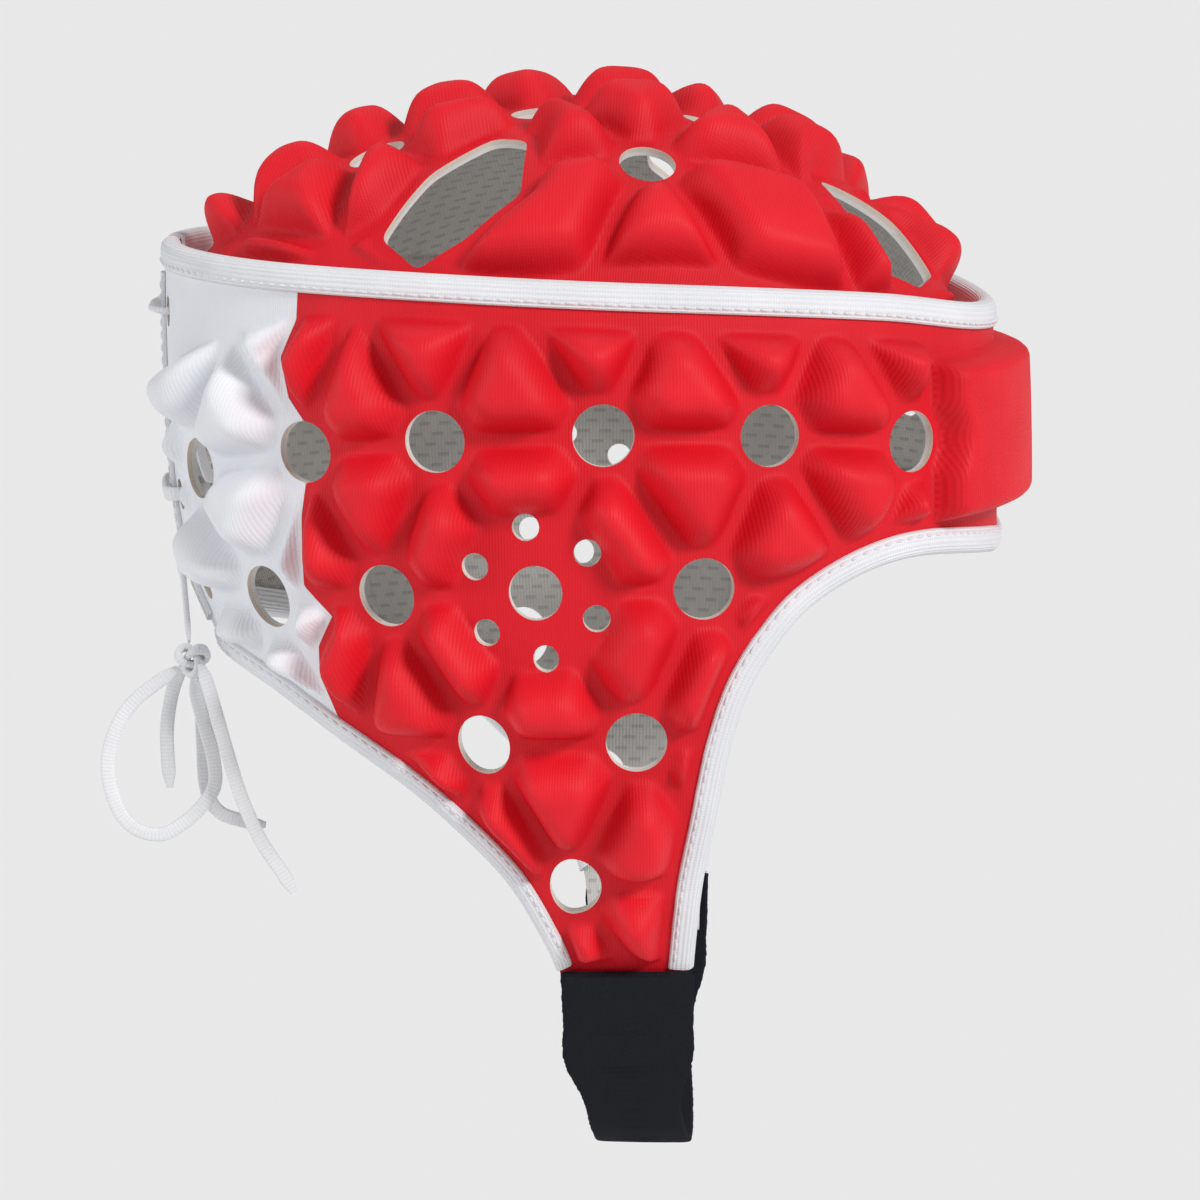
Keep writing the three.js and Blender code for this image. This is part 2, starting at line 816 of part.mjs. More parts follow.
function eyeletPlace(number) {
  const edge = lacedCurve.getPointAt(eyeletShare(number));
  return flat(edge.x + eyeletInset + bindingLeg / 2, edge.y);
}
const eyeletPlaces = Array.from({ length: eyelets }, (_, number) => eyeletPlace(number));

function slot(centre, number) {
  const along = lacedCurve.getTangentAt(eyeletShare(number)).multiplyScalar(eyeletLength / 2);
  const across = flat(-along.y, along.x).setLength(eyeletWidth / 2);
  return [
    centre.clone().sub(along).sub(across),
    centre.clone().add(along).sub(across),
    centre.clone().add(along).add(across),
    centre.clone().sub(along).add(across),
  ];
}
whiteHoles.push(...eyeletPlaces.map(slot));

const mirroredRing = (ring) => ring.toReversed().map(mirrorAround);
const liningLayer = { from: 0, to: liningThick };
const foamLayer = { from: panelFace, to: panelOuter };

const cap = new THREE.Group();
function addPiece(name, geometry, material) {
  const mesh = new THREE.Mesh(geometry, material);
  mesh.name = name;
  cap.add(mesh);
}

// Headband and flaps: one moulded red panel and its mesh lining
const headband = {
  surface: onBand,
  outline: red.outline,
  holes: [...redHoles, ...redHoles.map(mirroredRing)],
};
addPiece("headband", wrappedSheet({
  ...headband,
  ...foamLayer,
  pads: [...redPads, ...redPads.map(mirroredPad), raisedPad(foreheadFoot)],
}), redCloth);
addPiece("headband_lining", wrappedSheet({ ...headband, ...liningLayer }), greyLining);

// White panels behind the ears
for (const side of ["right", "left"]) {
  const isLeft = side === "left";
  const panel = {
    surface: onBand,
    outline: isLeft ? mirroredRing(white.outline) : white.outline,
    holes: isLeft ? whiteHoles.map(mirroredRing) : whiteHoles,
  };
  const pads = isLeft ? whitePads.map(mirroredPad) : whitePads;
  addPiece(`rear_panel_${side}`, wrappedSheet({ ...panel, ...foamLayer, pads }), whiteCloth);
  addPiece(`rear_lining_${side}`, wrappedSheet({ ...panel, ...liningLayer }), greyLining);
}

// Crown
function crownPlace(along, across) {
  const way = along < 0 ? crownRearWay : crownFrontWay;
  return flat(along * way, across * crownSideWay);
}
const opposite = (point) => flat(-point.x, -point.y);
const rearOpening = rearWindow.map((row) => crownPlace(row.along, row.across));
const frontOpening = frontWindow.map((row) => crownPlace(row.along, row.across));
const upright = (polygon) => (area(polygon) > 0 ? polygon : polygon.toReversed());
const crownWindows = [
  rearOpening,
  frontOpening,
  rearOpening.map(opposite),
  frontOpening.map(opposite),
].map(upright);

const crownRimSteps = 44;
const crownOutline = Array.from({ length: crownRimSteps }, (_, step) => {
  const angle = (step / crownRimSteps) * 2 * Math.PI;
  return crownPlace(Math.cos(angle), Math.sin(angle));
});
const crownRoom = crownOutline.map((point) =>
  point.clone().multiplyScalar(1 - (crownOverlap + 3) / crownSideWay));

const crownStep = (turn) =>
  flat(crownPitch * Math.cos(turn), crownPitch * Math.sin(turn));
const crownAlong = crownStep(crownTurn);
const crownAcross = crownStep(crownTurn - Math.PI / 3);
const crownNode = (m, n) =>
  flat(-crownVentBack, -crownVentAside)
    .addScaledVector(crownAlong, m)
    .addScaledVector(crownAcross, n);

// Pads of the crown: triangles between the nodes, kept off the windows
const windowMargin = 3.4;
function clearOfWindow(foot, opening) {
  const centre = centreOf(foot);
  let best = { distance: -Infinity };
  opening.forEach((corner, place) => {
    const along = opening[(place + 1) % opening.length].clone().sub(corner).normalize();
    const outwards = flat(along.y, -along.x);
    const distance = centre.clone().sub(corner).dot(outwards);
    if (distance > best.distance) best = { distance, corner, outwards };
  });
  if (best.distance < 0) return [];
  return cut(foot, best.corner.clone().addScaledVector(best.outwards, windowMargin), best.outwards);
}

// Two neighbouring triangles in each side arm are one long pad, given by its four nodes
const longPads = [
  [[0, 1], [0, 2], [1, 2], [1, 1]],
  [[0, 1], [-1, 1], [-2, 2], [-1, 2]],
];
const turnedAbout = ([m, n]) => [-m, -n];
const longCorners = [...longPads, ...longPads.map((pad) => pad.map(turnedAbout))]
  .map((pad) => upright(pad.map(([m, n]) => crownNode(m, n))));
const contains = (polygon, point) =>
  polygon.every((corner, place) =>
    polygon[(place + 1) % polygon.length].clone().sub(corner)
      .cross(point.clone().sub(corner)) > 0);

const crownCorners = [...longCorners];
const crownReach = 4;
for (let m = -crownReach; m <= crownReach; m++) {
  for (let n = -crownReach; n <= crownReach; n++) {
    const here = crownNode(m, n);
    const ahead = crownNode(m + 1, n);
    const aside = crownNode(m, n + 1);
    const far = crownNode(m + 1, n + 1);
    crownCorners.push(...[[here, aside, ahead], [aside, far, ahead]].map(upright)
      .filter((corners) => !longCorners.some((pad) => contains(pad, centreOf(corners)))));
  }
}
const clearance = crownVentRadius + ventRim;
const crownFeet = crownCorners.map((corners) =>
  footBetween(corners, corners.map(() => clearance)));
const crownPads = crownFeet
  .map((foot) => crownWindows.reduce((kept, opening) =>
    (kept.length > 2 ? clearOfWindow(kept, opening) : []), foot))
  .filter((foot) => foot.length > 2)
  .map((foot) => tidied(inside(crownRoom, upright(foot))))
  .map(raisedPad)
  .filter(Boolean);

const crownVents = [
  { m: 0, n: 0 },
  { m: 0, n: 1 },
  { m: 1, n: 0 },
  { m: 0, n: -1 },
  { m: -1, n: 0 },
];
const crownHoles = [
  ...crownWindows,
  ...crownVents.map(({ m, n }) => circle(crownNode(m, n), crownVentRadius, ventSides)),
];
const crown = { surface: onCrown, outline: crownOutline, holes: crownHoles };
addPiece("crown", wrappedSheet({ ...crown, ...foamLayer, pads: crownPads }), redCloth);
addPiece("crown_lining", wrappedSheet({ ...crown, ...liningLayer }), greyLining);

// Bindings: a strip of knit folded over each cut edge, so that its section is a U
const bindingLow = -bindingGap - bindingThick;
const bindingHigh = panelOuter + bindingGap + bindingThick;
const bindingOut = clothGap + bindingThick;
const bindingSection = [
  flat(-bindingOut, bindingLow),
  flat(bindingLeg, bindingLow),
  flat(bindingLeg, bindingLow + bindingThick),
  flat(-clothGap, bindingLow + bindingThick),
  flat(-clothGap, bindingHigh - bindingThick),
  flat(bindingLeg, bindingHigh - bindingThick),
  flat(bindingLeg, bindingHigh),
  flat(-bindingOut, bindingHigh),
];

// A line without its first and last few millimetres
function trimmedLine(line, fromStart, fromEnd) {
  const shorten = (points, length) => {
    let left = length;
    const kept = [...points];
    while (kept.length > 2 && kept[0].distanceTo(kept[1]) <= left + shortestSide)
      left = Math.max(0, left - kept.shift().distanceTo(kept[0]));
    const share = left / kept[0].distanceTo(kept[1]);
    return [kept[0].clone().lerp(kept[1], share), ...kept.slice(1)];
  };
  return shorten(shorten(line, fromStart).toReversed(), fromEnd).toReversed();
}

// The cloth lies to the left of the line, as seen along it from outside
function binding(line) {
  const spaced = line.filter((point, place) =>
    place === 0 || point.distanceTo(line[place - 1]) > seamGap * 2);
  const rings = spaced.map((point, place) => {
    const before = spaced[Math.max(place - 1, 0)];
    const after = spaced[Math.min(place + 1, spaced.length - 1)];
    const along = after.clone().sub(before).normalize();
    return bindingSection.map((corner) => onBand(
      point.x - along.y * corner.x,
      point.y + along.x * corner.x,
      corner.y,
    ));
  });
  return sweptRings(rings, bindingSection);
}

const bindingClear = bindingLeg + 2 * clothGap;
const strapClear = strapOverlap + 2 * clothGap;
const faceTrimmed = trimmedLine(faceLine, strapClear, 0);
const underSeam = napeWhite.at(-1).clone().lerp(napeRed[0], 0.5);
const napeLine = [...napeWhite.slice(0, -1), underSeam, ...napeRed.slice(1)];
const napeTrimmed = trimmedLine(napeLine, 0, strapClear);
const lacedTrimmed = trimmedLine(lacedLine, bindingClear, bindingClear);
addPiece("top_binding", binding([
  ...topWhite.map(mirrorAround),
  ...topRed.map(mirrorAround).slice(0, -1),
  ...topRed.toReversed(),
  ...topWhite.toReversed(),
]), whiteBinding);
addPiece("face_binding", binding([
  ...faceTrimmed.slice(0, -1),
  ...mirroredRing(faceTrimmed),
]), whiteBinding);
addPiece("nape_binding_right", binding(napeTrimmed), whiteBinding);
addPiece("nape_binding_left", binding(mirroredRing(napeTrimmed)), whiteBinding);
addPiece("laced_binding_right", binding(lacedTrimmed), whiteBinding);
addPiece("laced_binding_left", binding(mirroredRing(lacedTrimmed)), whiteBinding);

// Chin strap: a loop-pile tape that laps over one flap, runs under the chin and laps over the other
const mirrored = (point) => new THREE.Vector3(point.x, -point.y, point.z);
const strapMiddle = (faceLine[0].x + napeRed.at(-1).x) / 2;
const strapLow = panelOuter + bindingGap;
const strapAcross = [-0.5, -0.25, 0, 0.25, 0.5];
const strapSection = [
  ...strapAcross.map((share) => flat(share * strapWidth, 0)),
  ...strapAcross.toReversed().map((share) => flat(share * strapWidth, strapThick)),
];

function strapRings() {
  const overlapSteps = 2;
  const freeSteps = 8;
  const rings = [];
  for (let step = 0; step <= overlapSteps; step++) {
    const level = -flapDepth + strapOverlap * (1 - step / overlapSteps);
    rings.push(strapSection.map((corner) =>
      onBand(strapMiddle + corner.x, level, strapLow + corner.y)));
  }
  const flapFoot = onBand(strapMiddle, -flapDepth, strapLow);
  const downwards = flapFoot.clone()
    .sub(onBand(strapMiddle, -flapDepth + 1, strapLow)).normalize();
  const chin = new THREE.Vector3(strapChinForward, 0, -strapDrop + strapThick);
  const path = new THREE.CubicBezierCurve3(
    flapFoot,
    flapFoot.clone().addScaledVector(downwards, strapStiffness),
    chin.clone().add(new THREE.Vector3(0, -strapSag, 0)),
    chin,
  );
  for (let step = 1; step <= freeSteps; step++) {
    const share = step / freeSteps;
    const middle = path.getPointAt(share);
    const along = path.getTangentAt(share);
    const outwards = new THREE.Vector3(0, along.z, -along.y).normalize();
    const narrowing = 1 + (strapChinWidth / strapWidth - 1) * share;
    rings.push(strapSection.map((corner) => middle.clone()
      .add(new THREE.Vector3(corner.x * narrowing, 0, 0))
      .addScaledVector(outwards, corner.y)));
  }
  return rings;
}
const rightRings = strapRings();
const leftRings = rightRings.slice(0, -1).toReversed().map((ring) => ring.map(mirrored));
addPiece("chin_strap", sweptRings([...rightRings, ...leftRings], strapSection), blackLoop);

// Lace: it starts at the knot, crosses the opening outside, and comes back inside one eyelet higher
const laceOuter = bindingHigh + clothGap + laceThick / 2;
const laceInner = bindingLow - clothGap - laceThick / 2;
const laceMiddle = (strapLow + bindingLow) / 2;

function laceCrossing(from, to, out) {
  const edgeOf = (place) => place.x - eyeletInset - bindingLeg / 2;
  const start = onBand(from.x - lacePull, from.y, out);
  const end = onBand(to.x - lacePull, to.y, out);
  const middleLevel = (from.y + to.y) / 2;
  const middle = bandPoint(-quarterTurn, middleLevel, -out);
  return {
    start,
    edge: onBand(edgeOf(from), from.y, out),
    middle,
    farEdge: onBand(edgeOf(to), to.y, out),
    end,
  };
}

function laceRoute() {
  const route = [];
  for (let number = eyelets - 1; number >= 0; number--) {
    const here = eyeletPlaces[number];
    const outside = laceCrossing(here, here, laceOuter);
    if (number < eyelets - 1)
      route.push(onBand(here.x, here.y, laceMiddle), outside.start);
    route.push(outside.edge, outside.middle, mirrored(outside.farEdge), mirrored(outside.end));
    route.push(mirrored(onBand(here.x, here.y, laceMiddle)));
    if (number === 0) break;
    const next = eyeletPlaces[number - 1];
    const back = laceCrossing(here, next, laceInner);
    route.push(mirrored(back.start), mirrored(back.edge), back.middle, back.farEdge, back.end);
  }
  return route;
}

// Smooth curve whose equal steps are its own points
class PointedCurve extends THREE.CatmullRomCurve3 {
  getUtoTmapping(share) {
    return share;
  }
}

function tube(points) {
  const shape = new THREE.Shape(circle(flat(0, 0), laceThick / 2, laceSides));
  return new THREE.ExtrudeGeometry(shape, {
    steps: points.length - 1,
    extrudePath: new PointedCurve(points, false, "centripetal"),
    bevelEnabled: false,
  });
}

const laceStart = knotPlace.clone()
  .add(new THREE.Vector3(-1, 1, 5).setLength(knotRadius + clothGap));
addPiece("lace", tube([laceStart, ...laceRoute()]), whiteLace);

const knot = new THREE.IcosahedronGeometry(knotRadius, 1);
knot.translate(knotPlace.x, knotPlace.y, knotPlace.z);
addPiece("lace_knot", knot, whiteLace);

// Bow loop and free ends as they hang: forward, left and up from the knot
const hanging = (rows) => rows.map((row) => new THREE.Vector3(...row).add(knotPlace));
const bowRoute = hanging([
  [-3.7, 0.4, -2.4], [-13.1, 0.5, -9.5], [-17.9, 0.5, -15.5], [-20.6, 0.5, -22.8],
  [-20.8, 0.5, -30.1], [-18.4, 0.5, -37.9], [-14.3, 0.5, -42.3], [-8.3, 0.5, -43.5],
  [-3.5, 0.5, -41.1], [1.3, 0.5, -36.9], [4.9, 0.5, -31.3], [4.6, 0.5, -24],
  [2.4, 0.5, -15.5], [0.8, 0.5, -9], [0.2, 0.2, -4.4],
]);
const longRoute = hanging([
  [2.5, -4, -0.5], [4.3, -6, -5], [6, -6, -11], [8.5, -6, -20.3],
  [12.1, -6, -32.5], [16.9, -6, -43.5], [21.7, -6, -50.8], [24.8, -6, -56.4],
]);
const secondRoute = hanging([
  [0.5, 3.7, -2.4], [1, 6.4, -8.5], [1.4, 6.9, -20.5], [2, 6.9, -33],
  [5, 6.9, -39], [11, 6.9, -41.3], [16.5, 6.9, -42.3],
]);
const shortRoute = hanging([
  [-2.5, 2.9, -2.1], [-4.8, 5.2, -6.5], [-6.4, 5.5, -12.5], [-7.2, 5.5, -20.3],
  [-6.6, 5.5, -33],
]);
addPiece("lace_bow", tube(bowRoute), whiteLace);
addPiece("lace_end_long", tube(longRoute), whiteLace);
addPiece("lace_end_second", tube(secondRoute), whiteLace);
addPiece("lace_end_short", tube(shortRoute), whiteLace);

export default cap;
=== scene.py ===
import math

import bpy
import numpy as np
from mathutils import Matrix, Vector, noise
from mathutils.geometry import delaunay_2d_cdt
from mathutils.kdtree import KDTree


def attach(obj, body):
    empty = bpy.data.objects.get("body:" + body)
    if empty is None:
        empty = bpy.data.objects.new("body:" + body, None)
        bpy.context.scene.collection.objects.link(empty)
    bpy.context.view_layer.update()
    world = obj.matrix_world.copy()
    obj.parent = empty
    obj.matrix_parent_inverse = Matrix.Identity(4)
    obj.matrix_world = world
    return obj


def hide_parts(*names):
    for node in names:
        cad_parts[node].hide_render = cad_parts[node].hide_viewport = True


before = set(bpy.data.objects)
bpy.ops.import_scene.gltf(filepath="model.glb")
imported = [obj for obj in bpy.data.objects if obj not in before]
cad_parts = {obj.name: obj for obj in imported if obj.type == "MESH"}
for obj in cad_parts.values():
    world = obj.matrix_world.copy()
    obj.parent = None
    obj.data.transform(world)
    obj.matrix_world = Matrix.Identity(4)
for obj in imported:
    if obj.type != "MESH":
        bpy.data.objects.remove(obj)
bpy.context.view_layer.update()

# Camera, at the photograph's angle: the cap's right side, from a little above its middle and a
# little ahead of it, with a long lens.
scene = bpy.context.scene
target = Vector((0.0024, 0, -0.119))
azimuth = math.radians(3)
elevation = math.radians(10)
distance = 1.3
towards_camera = Vector((
    math.sin(azimuth) * math.cos(elevation),
    -math.cos(azimuth) * math.cos(elevation),
    math.sin(elevation),
))
camera_data = bpy.data.cameras.new("camera")
camera_data.lens = 158.7
camera_data.sensor_width = 36
camera = bpy.data.objects.new("camera", camera_data)
camera.location = target + distance * towards_camera
camera.rotation_euler = towards_camera.to_track_quat("Z", "Y").to_euler()
scene.collection.objects.link(camera)
scene.camera = camera


# Lace: a flat white polyester braid. Its bow loop and its ends hang from a knot at the lower corner
# of the right rear panel. Their routes are millimetres forward, left and up from the knot.
def linked(name, mesh, materials, stands_for=None):
    """A piece in the scene and the solid that it stands for."""
    piece = bpy.data.objects.new(name, mesh)
    for material in materials:
        mesh.materials.append(material)
    scene.collection.objects.link(piece)
    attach(piece, "root")
    if stands_for:
        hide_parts(stands_for)
    return piece


def node(tree, kind, inputs=None, **settings):
    made = tree.nodes.new(kind)
    for name, value in settings.items():
        setattr(made, name, value)
    for name, value in (inputs or {}).items():
        if isinstance(value, bpy.types.NodeSocket):
            tree.links.new(value, made.inputs[name])
        else:
            made.inputs[name].default_value = value
    return made


def math_node(tree, operation, *values):
    return node(tree, "ShaderNodeMath", dict(enumerate(values)), operation=operation).outputs[0]


def group_inputs(tree, *numbers):
    """Inputs of a shared group: a place on the cloth, and numbers."""
    tree.interface.new_socket("Place", in_out="INPUT", socket_type="NodeSocketVector")
    for name in numbers:
        tree.interface.new_socket(name, in_out="INPUT", socket_type="NodeSocketFloat")
    return node(tree, "NodeGroupInput").outputs


def group_outputs(tree, **sockets):
    for name in sockets:
        tree.interface.new_socket(name, in_out="OUTPUT", socket_type="NodeSocketFloat")
    node(tree, "NodeGroupOutput", sockets)


def knit_group():
    """Fine rows of knitted loops: Height for a bump, and Tone for uneven dye and wear."""
    tree = bpy.data.node_groups.new("knit", "ShaderNodeTree")
    given = group_inputs(tree, "Wale", "Course", "Fuzz")
    place = node(tree, "ShaderNodeSeparateXYZ", {0: given["Place"]})
    waves = []
    for axis, pitch in (("X", "Wale"), ("Y", "Course")):
        turns = math_node(tree, "DIVIDE", place.outputs[axis], given[pitch])
        waves.append(math_node(tree, "SINE", math_node(tree, "MULTIPLY", turns, 2 * math.pi)))
    loops = math_node(tree, "MULTIPLY_ADD", waves[1], 0.3, waves[0])
    fibres = node(tree, "ShaderNodeTexNoise", {
        "Vector": given["Place"], "Scale": 1.6, "Detail": 3.0, "Roughness": 0.7,
    })
    dye = node(tree, "ShaderNodeTexNoise", {
        "Vector": given["Place"], "Scale": 0.045, "Detail": 2.0,
    })
    fuzz = math_node(tree, "MULTIPLY", fibres.outputs["Fac"], given["Fuzz"])
    height = math_node(tree, "MULTIPLY_ADD", loops, 0.35, fuzz)
    mottle = math_node(tree, "MULTIPLY_ADD", fibres.outputs["Fac"], 0.45, dye.outputs["Fac"])
    tone = math_node(tree, "MULTIPLY_ADD", loops, 0.12, mottle)
    group_outputs(tree, Height=height, Tone=math_node(tree, "SUBTRACT", tone, 0.22))
    return tree


knit = knit_group()


def mapped_place(tree, swapped=False):
    """The cloth's own flat pattern in millimetres, or turned by a quarter."""
    uv = node(tree, "ShaderNodeUVMap", uv_map="cloth").outputs[0]
    if not swapped:
        return uv
    parts = node(tree, "ShaderNodeSeparateXYZ", {0: uv})
    return node(tree, "ShaderNodeCombineXYZ", {
        "X": parts.outputs["Y"], "Y": parts.outputs["X"],
    }).outputs[0]


def grouped(tree, group, place, **values):
    """Outputs of a shared group, fed with a place on the cloth and its own values."""
    made = tree.nodes.new("ShaderNodeGroup")
    made.node_tree = group
    tree.links.new(place, made.inputs["Place"])
    for name, value in values.items():
        made.inputs[name].default_value = value
    return made.outputs


def new_material(name):
    material = bpy.data.materials.new(name)
    material.use_nodes = True
    tree = material.node_tree
    tree.nodes.clear()
    return material, tree


def finish_material(tree, inputs):
    shader = node(tree, "ShaderNodeBsdfPrincipled", inputs)
    node(tree, "ShaderNodeOutputMaterial", {"Surface": shader.outputs[0]})


def two_tone(tree, factor, dark, light):
    """Mix of two tones, each a colour or the output of another node."""
    tones = [
        tone if isinstance(tone, bpy.types.NodeSocket) else (*tone, 1) for tone in (dark, light)
    ]
    return node(tree, "ShaderNodeMix", {
        "Factor": factor, 6: tones[0], 7: tones[1],
    }, data_type="RGBA").outputs[2]


def bumped(tree, height, depth, strength):
    return node(tree, "ShaderNodeBump", {
        "Height": height, "Distance": depth, "Strength": strength,
    }).outputs[0]


def plain_knit(name, wale, dark, light, roughness, sheen, relief, swapped=False):
    """Cloth of one knit all over."""
    material, tree = new_material(name)
    woven = grouped(tree, knit, mapped_place(tree, swapped), Wale=wale, Course=0.7, Fuzz=0.6)
    finish_material(tree, {
        "Base Color": two_tone(tree, woven["Tone"], dark, light), "Roughness": roughness,
        "Sheen Weight": sheen, "Normal": bumped(tree, woven["Height"], *relief),
    })
    return material


braid_cloth = plain_knit(
    "lace_braid", 0.9, (0.66, 0.67, 0.70), (0.88, 0.88, 0.89),
    roughness=0.75, sheen=0.2, relief=(0.00015, 0.5))
METRE = 1000  # in millimetres
BRAID_WIDTH = 0.0034
BRAID_THICK = 0.0014
BRAID_STEP = 0.0008
END_SIZE = 0.45  # of a cut end, as a share of the braid
END_TAPER = 0.12  # how much wider each ring is than the last


def unit(vectors):
    return vectors / np.linalg.norm(vectors, axis=-1, keepdims=True)


def lengths_along(line):
    """Length from the start of a line to each of its points."""
    gaps = np.linalg.norm(np.diff(line, axis=0), axis=1)
    return np.concatenate([[0], np.cumsum(gaps)])


def directions(line):
    return unit(np.gradient(line, axis=0))


def even(line, step):
    """The same line with its points a step apart."""
    line = np.asarray(line, dtype=float)
    along = lengths_along(line)
    at = np.linspace(0, along[-1], max(2, round(along[-1] / step) + 1))
    return np.column_stack([np.interp(at, along, column) for column in line.T])


def smooth_line(points, step):
    """Smooth curve through the points, with its own points a step apart."""
    points = np.asarray(points, dtype=float)
    padded = np.vstack([points[:1], points, points[-1:]])
    share = np.linspace(0, 1, 16, endpoint=False)[:, None]
    stretches = []
    for place in range(len(points) - 1):
        before, start, end, after = padded[place:place + 4]
        leave = (end - before) / 2
        arrive = (after - start) / 2
        stretches.append(
            (2 * start - 2 * end + leave + arrive) * share ** 3
            + (3 * end - 3 * start - 2 * leave - arrive) * share ** 2
            + leave * share + start
        )
    return even(np.vstack([*stretches, points[-1:]]), step)


def rounded_section(width, thick, corners=16, squareness=0.55):
    turn = np.linspace(0, 2 * math.pi, corners, endpoint=False)
    across = np.sign(np.cos(turn)) * np.abs(np.cos(turn)) ** squareness
    through = np.sign(np.sin(turn)) * np.abs(np.sin(turn)) ** squareness
    return np.column_stack([across * width / 2, through * thick / 2])


def tube_faces(count, sides):
    """Four-sided faces between each ring of points and the next."""
    return [
        (ring * sides + side, ring * sides + (side + 1) % sides,
         (ring + 1) * sides + (side + 1) % sides, (ring + 1) * sides + side)
        for ring in range(count - 1) for side in range(sides)
    ]


def smooth_mesh(name, points, faces):
    mesh = bpy.data.meshes.new(name)
    mesh.from_pydata(points, [], faces)
    mesh.shade_smooth()
    return mesh


def swept_mesh(name, rings, step, girth):
    """Closed tube of given rings, with its own length and girth in millimetres as its pattern."""
    count, sides = rings.shape[:2]
    faces = tube_faces(count, sides)
    pattern = [
        corner for ring in range(count - 1) for side in range(sides)
        for corner in ((ring, side), (ring, side + 1), (ring + 1, side + 1), (ring + 1, side))
    ]
    for ring, order in ((0, -1), (count - 1, 1)):
        faces.append(tuple(ring * sides + side for side in range(sides)[::order]))
        pattern += [(ring, side) for side in range(sides)[::order]]
    mesh = smooth_mesh(name, rings.reshape(-1, 3), faces)
    cloth = mesh.uv_layers.new(name="cloth")
    cloth.data.foreach_set("uv", (np.array(pattern) * (step, girth / sides)).ravel())
    mesh.set_sharp_from_angle(angle=math.radians(60))
    return mesh


def braid(name, route, facing, stands_for):
    """Flat braid along a route; facing is the way its flat side looks at the start."""
    path = smooth_line(route, BRAID_STEP)
    section = rounded_section(BRAID_WIDTH, BRAID_THICK)
    from_start = np.arange(len(path))
    from_end = from_start[::-1]
    sizes = np.minimum(1, END_SIZE + np.minimum(from_start, from_end) * END_TAPER)
    face = np.asarray(facing, dtype=float)
    rings = []
    for place, direction, size in zip(path, directions(path), sizes):
        face = unit(face - face.dot(direction) * direction)
        across = np.cross(direction, face)
        rings.append(place + size * (section[:, :1] * across + section[:, 1:] * face))
    girth = 2 * (BRAID_WIDTH + BRAID_THICK)
    mesh = swept_mesh(name, np.array(rings), BRAID_STEP * METRE, girth * METRE)
    return linked(name, mesh, [braid_cloth], stands_for), path


knot_place = np.array((-0.0942, -0.0328, -0.1285))


def knot_mesh():
    """A tight overhand knot in the same braid."""
    turn = np.linspace(0, 2 * math.pi, 90, endpoint=False)
    size = 0.00125
    middle = knot_place + size * np.column_stack([
        np.sin(turn) + 2 * np.sin(2 * turn),
        0.9 * np.sin(3 * turn),
        np.cos(turn) - 2 * np.cos(2 * turn),
    ])
    along = unit(np.roll(middle, -1, axis=0) - np.roll(middle, 1, axis=0))
    across = unit(np.cross(along, middle - knot_place))
    outwards = np.cross(across, along)
    section = rounded_section(width=0.003, thick=0.0017, corners=12)
    rings = (middle[:, None] + section[None, :, :1] * across[:, None]
             + section[None, :, 1:] * outwards[:, None])
    return swept_mesh("lace_knot", np.vstack([rings, rings[:1]]), step=0.5, girth=8)


knot = linked("lace_knot_tied", knot_mesh(), [braid_cloth], "lace_knot")

camera_side = (0.1, -1, 0.15)
hanging = {
    "lace_bow": ("object", [knot], [
        (-3.7, 0.4, -2.4), (-13.1, 0.5, -9.5), (-17.9, 0.5, -15.5), (-20.6, 0.5, -22.8),
        (-20.8, 0.5, -30.1), (-18.4, 0.5, -37.9), (-14.3, 0.5, -42.3), (-8.3, 0.5, -43.5),
        (-3.5, 0.5, -41.1), (1.3, 0.5, -36.9), (4.9, 0.5, -31.3), (4.6, 0.5, -24),
        (2.4, 0.5, -15.5), (0.8, 0.5, -9), (0.2, 0.2, -4.4),
    ]),
    "lace_end_long": ("bare", [], [
        (2.5, -4, -0.5), (4.3, -6, -5), (6, -6, -11), (8.5, -6, -20.3), (12.1, -6, -32.5),
        (16.9, -6, -43.5), (21.7, -6, -50.8), (24.8, -6, -56.4),
    ]),
    "lace_end_second": ("bare", [], [
        (0.5, 3.7, -2.4), (1, 6.4, -8.5), (1.4, 6.9, -20.5), (2, 6.9, -33), (5, 6.9, -39),
        (11, 6.9, -41.3), (16.5, 6.9, -42.3),
    ]),
    "lace_end_short": ("bare", [], [
        (-2.5, 2.9, -2.1), (-4.8, 5.2, -6.5), (-6.4, 5.5, -12.5), (-7.2, 5.5, -20.3),
        (-6.6, 5.5, -33),
    ]),
}
for name, (far_end, with_pieces, steps) in hanging.items():
    route = knot_place + np.array(steps) / METRE
    piece, path = braid(f"{name}_braid", route, camera_side, name)


# Headband and flaps: one panel of foam moulded under red knit. Soft three-sided pads rise between
# its vents, with channels round them, and a flat disc with seven holes lies over each ear. Lengths
# from here on are millimetres of the flat pattern: around from the ear line, and level from the top.
BAND_FRONT = 97
BAND_REAR = 100
BAND_SIDE = 75
FLAP_DEPTH = 212
PANEL_FACE = 1.1
PANEL_OUTER = 2.3
CLOTH_MIDDLE = 1.8
QUARTER = math.pi / 2
FINE = 1.0  # spacing of the mesh over the pads
HIDDEN_SPACING = 5  # and of faces that nobody sees


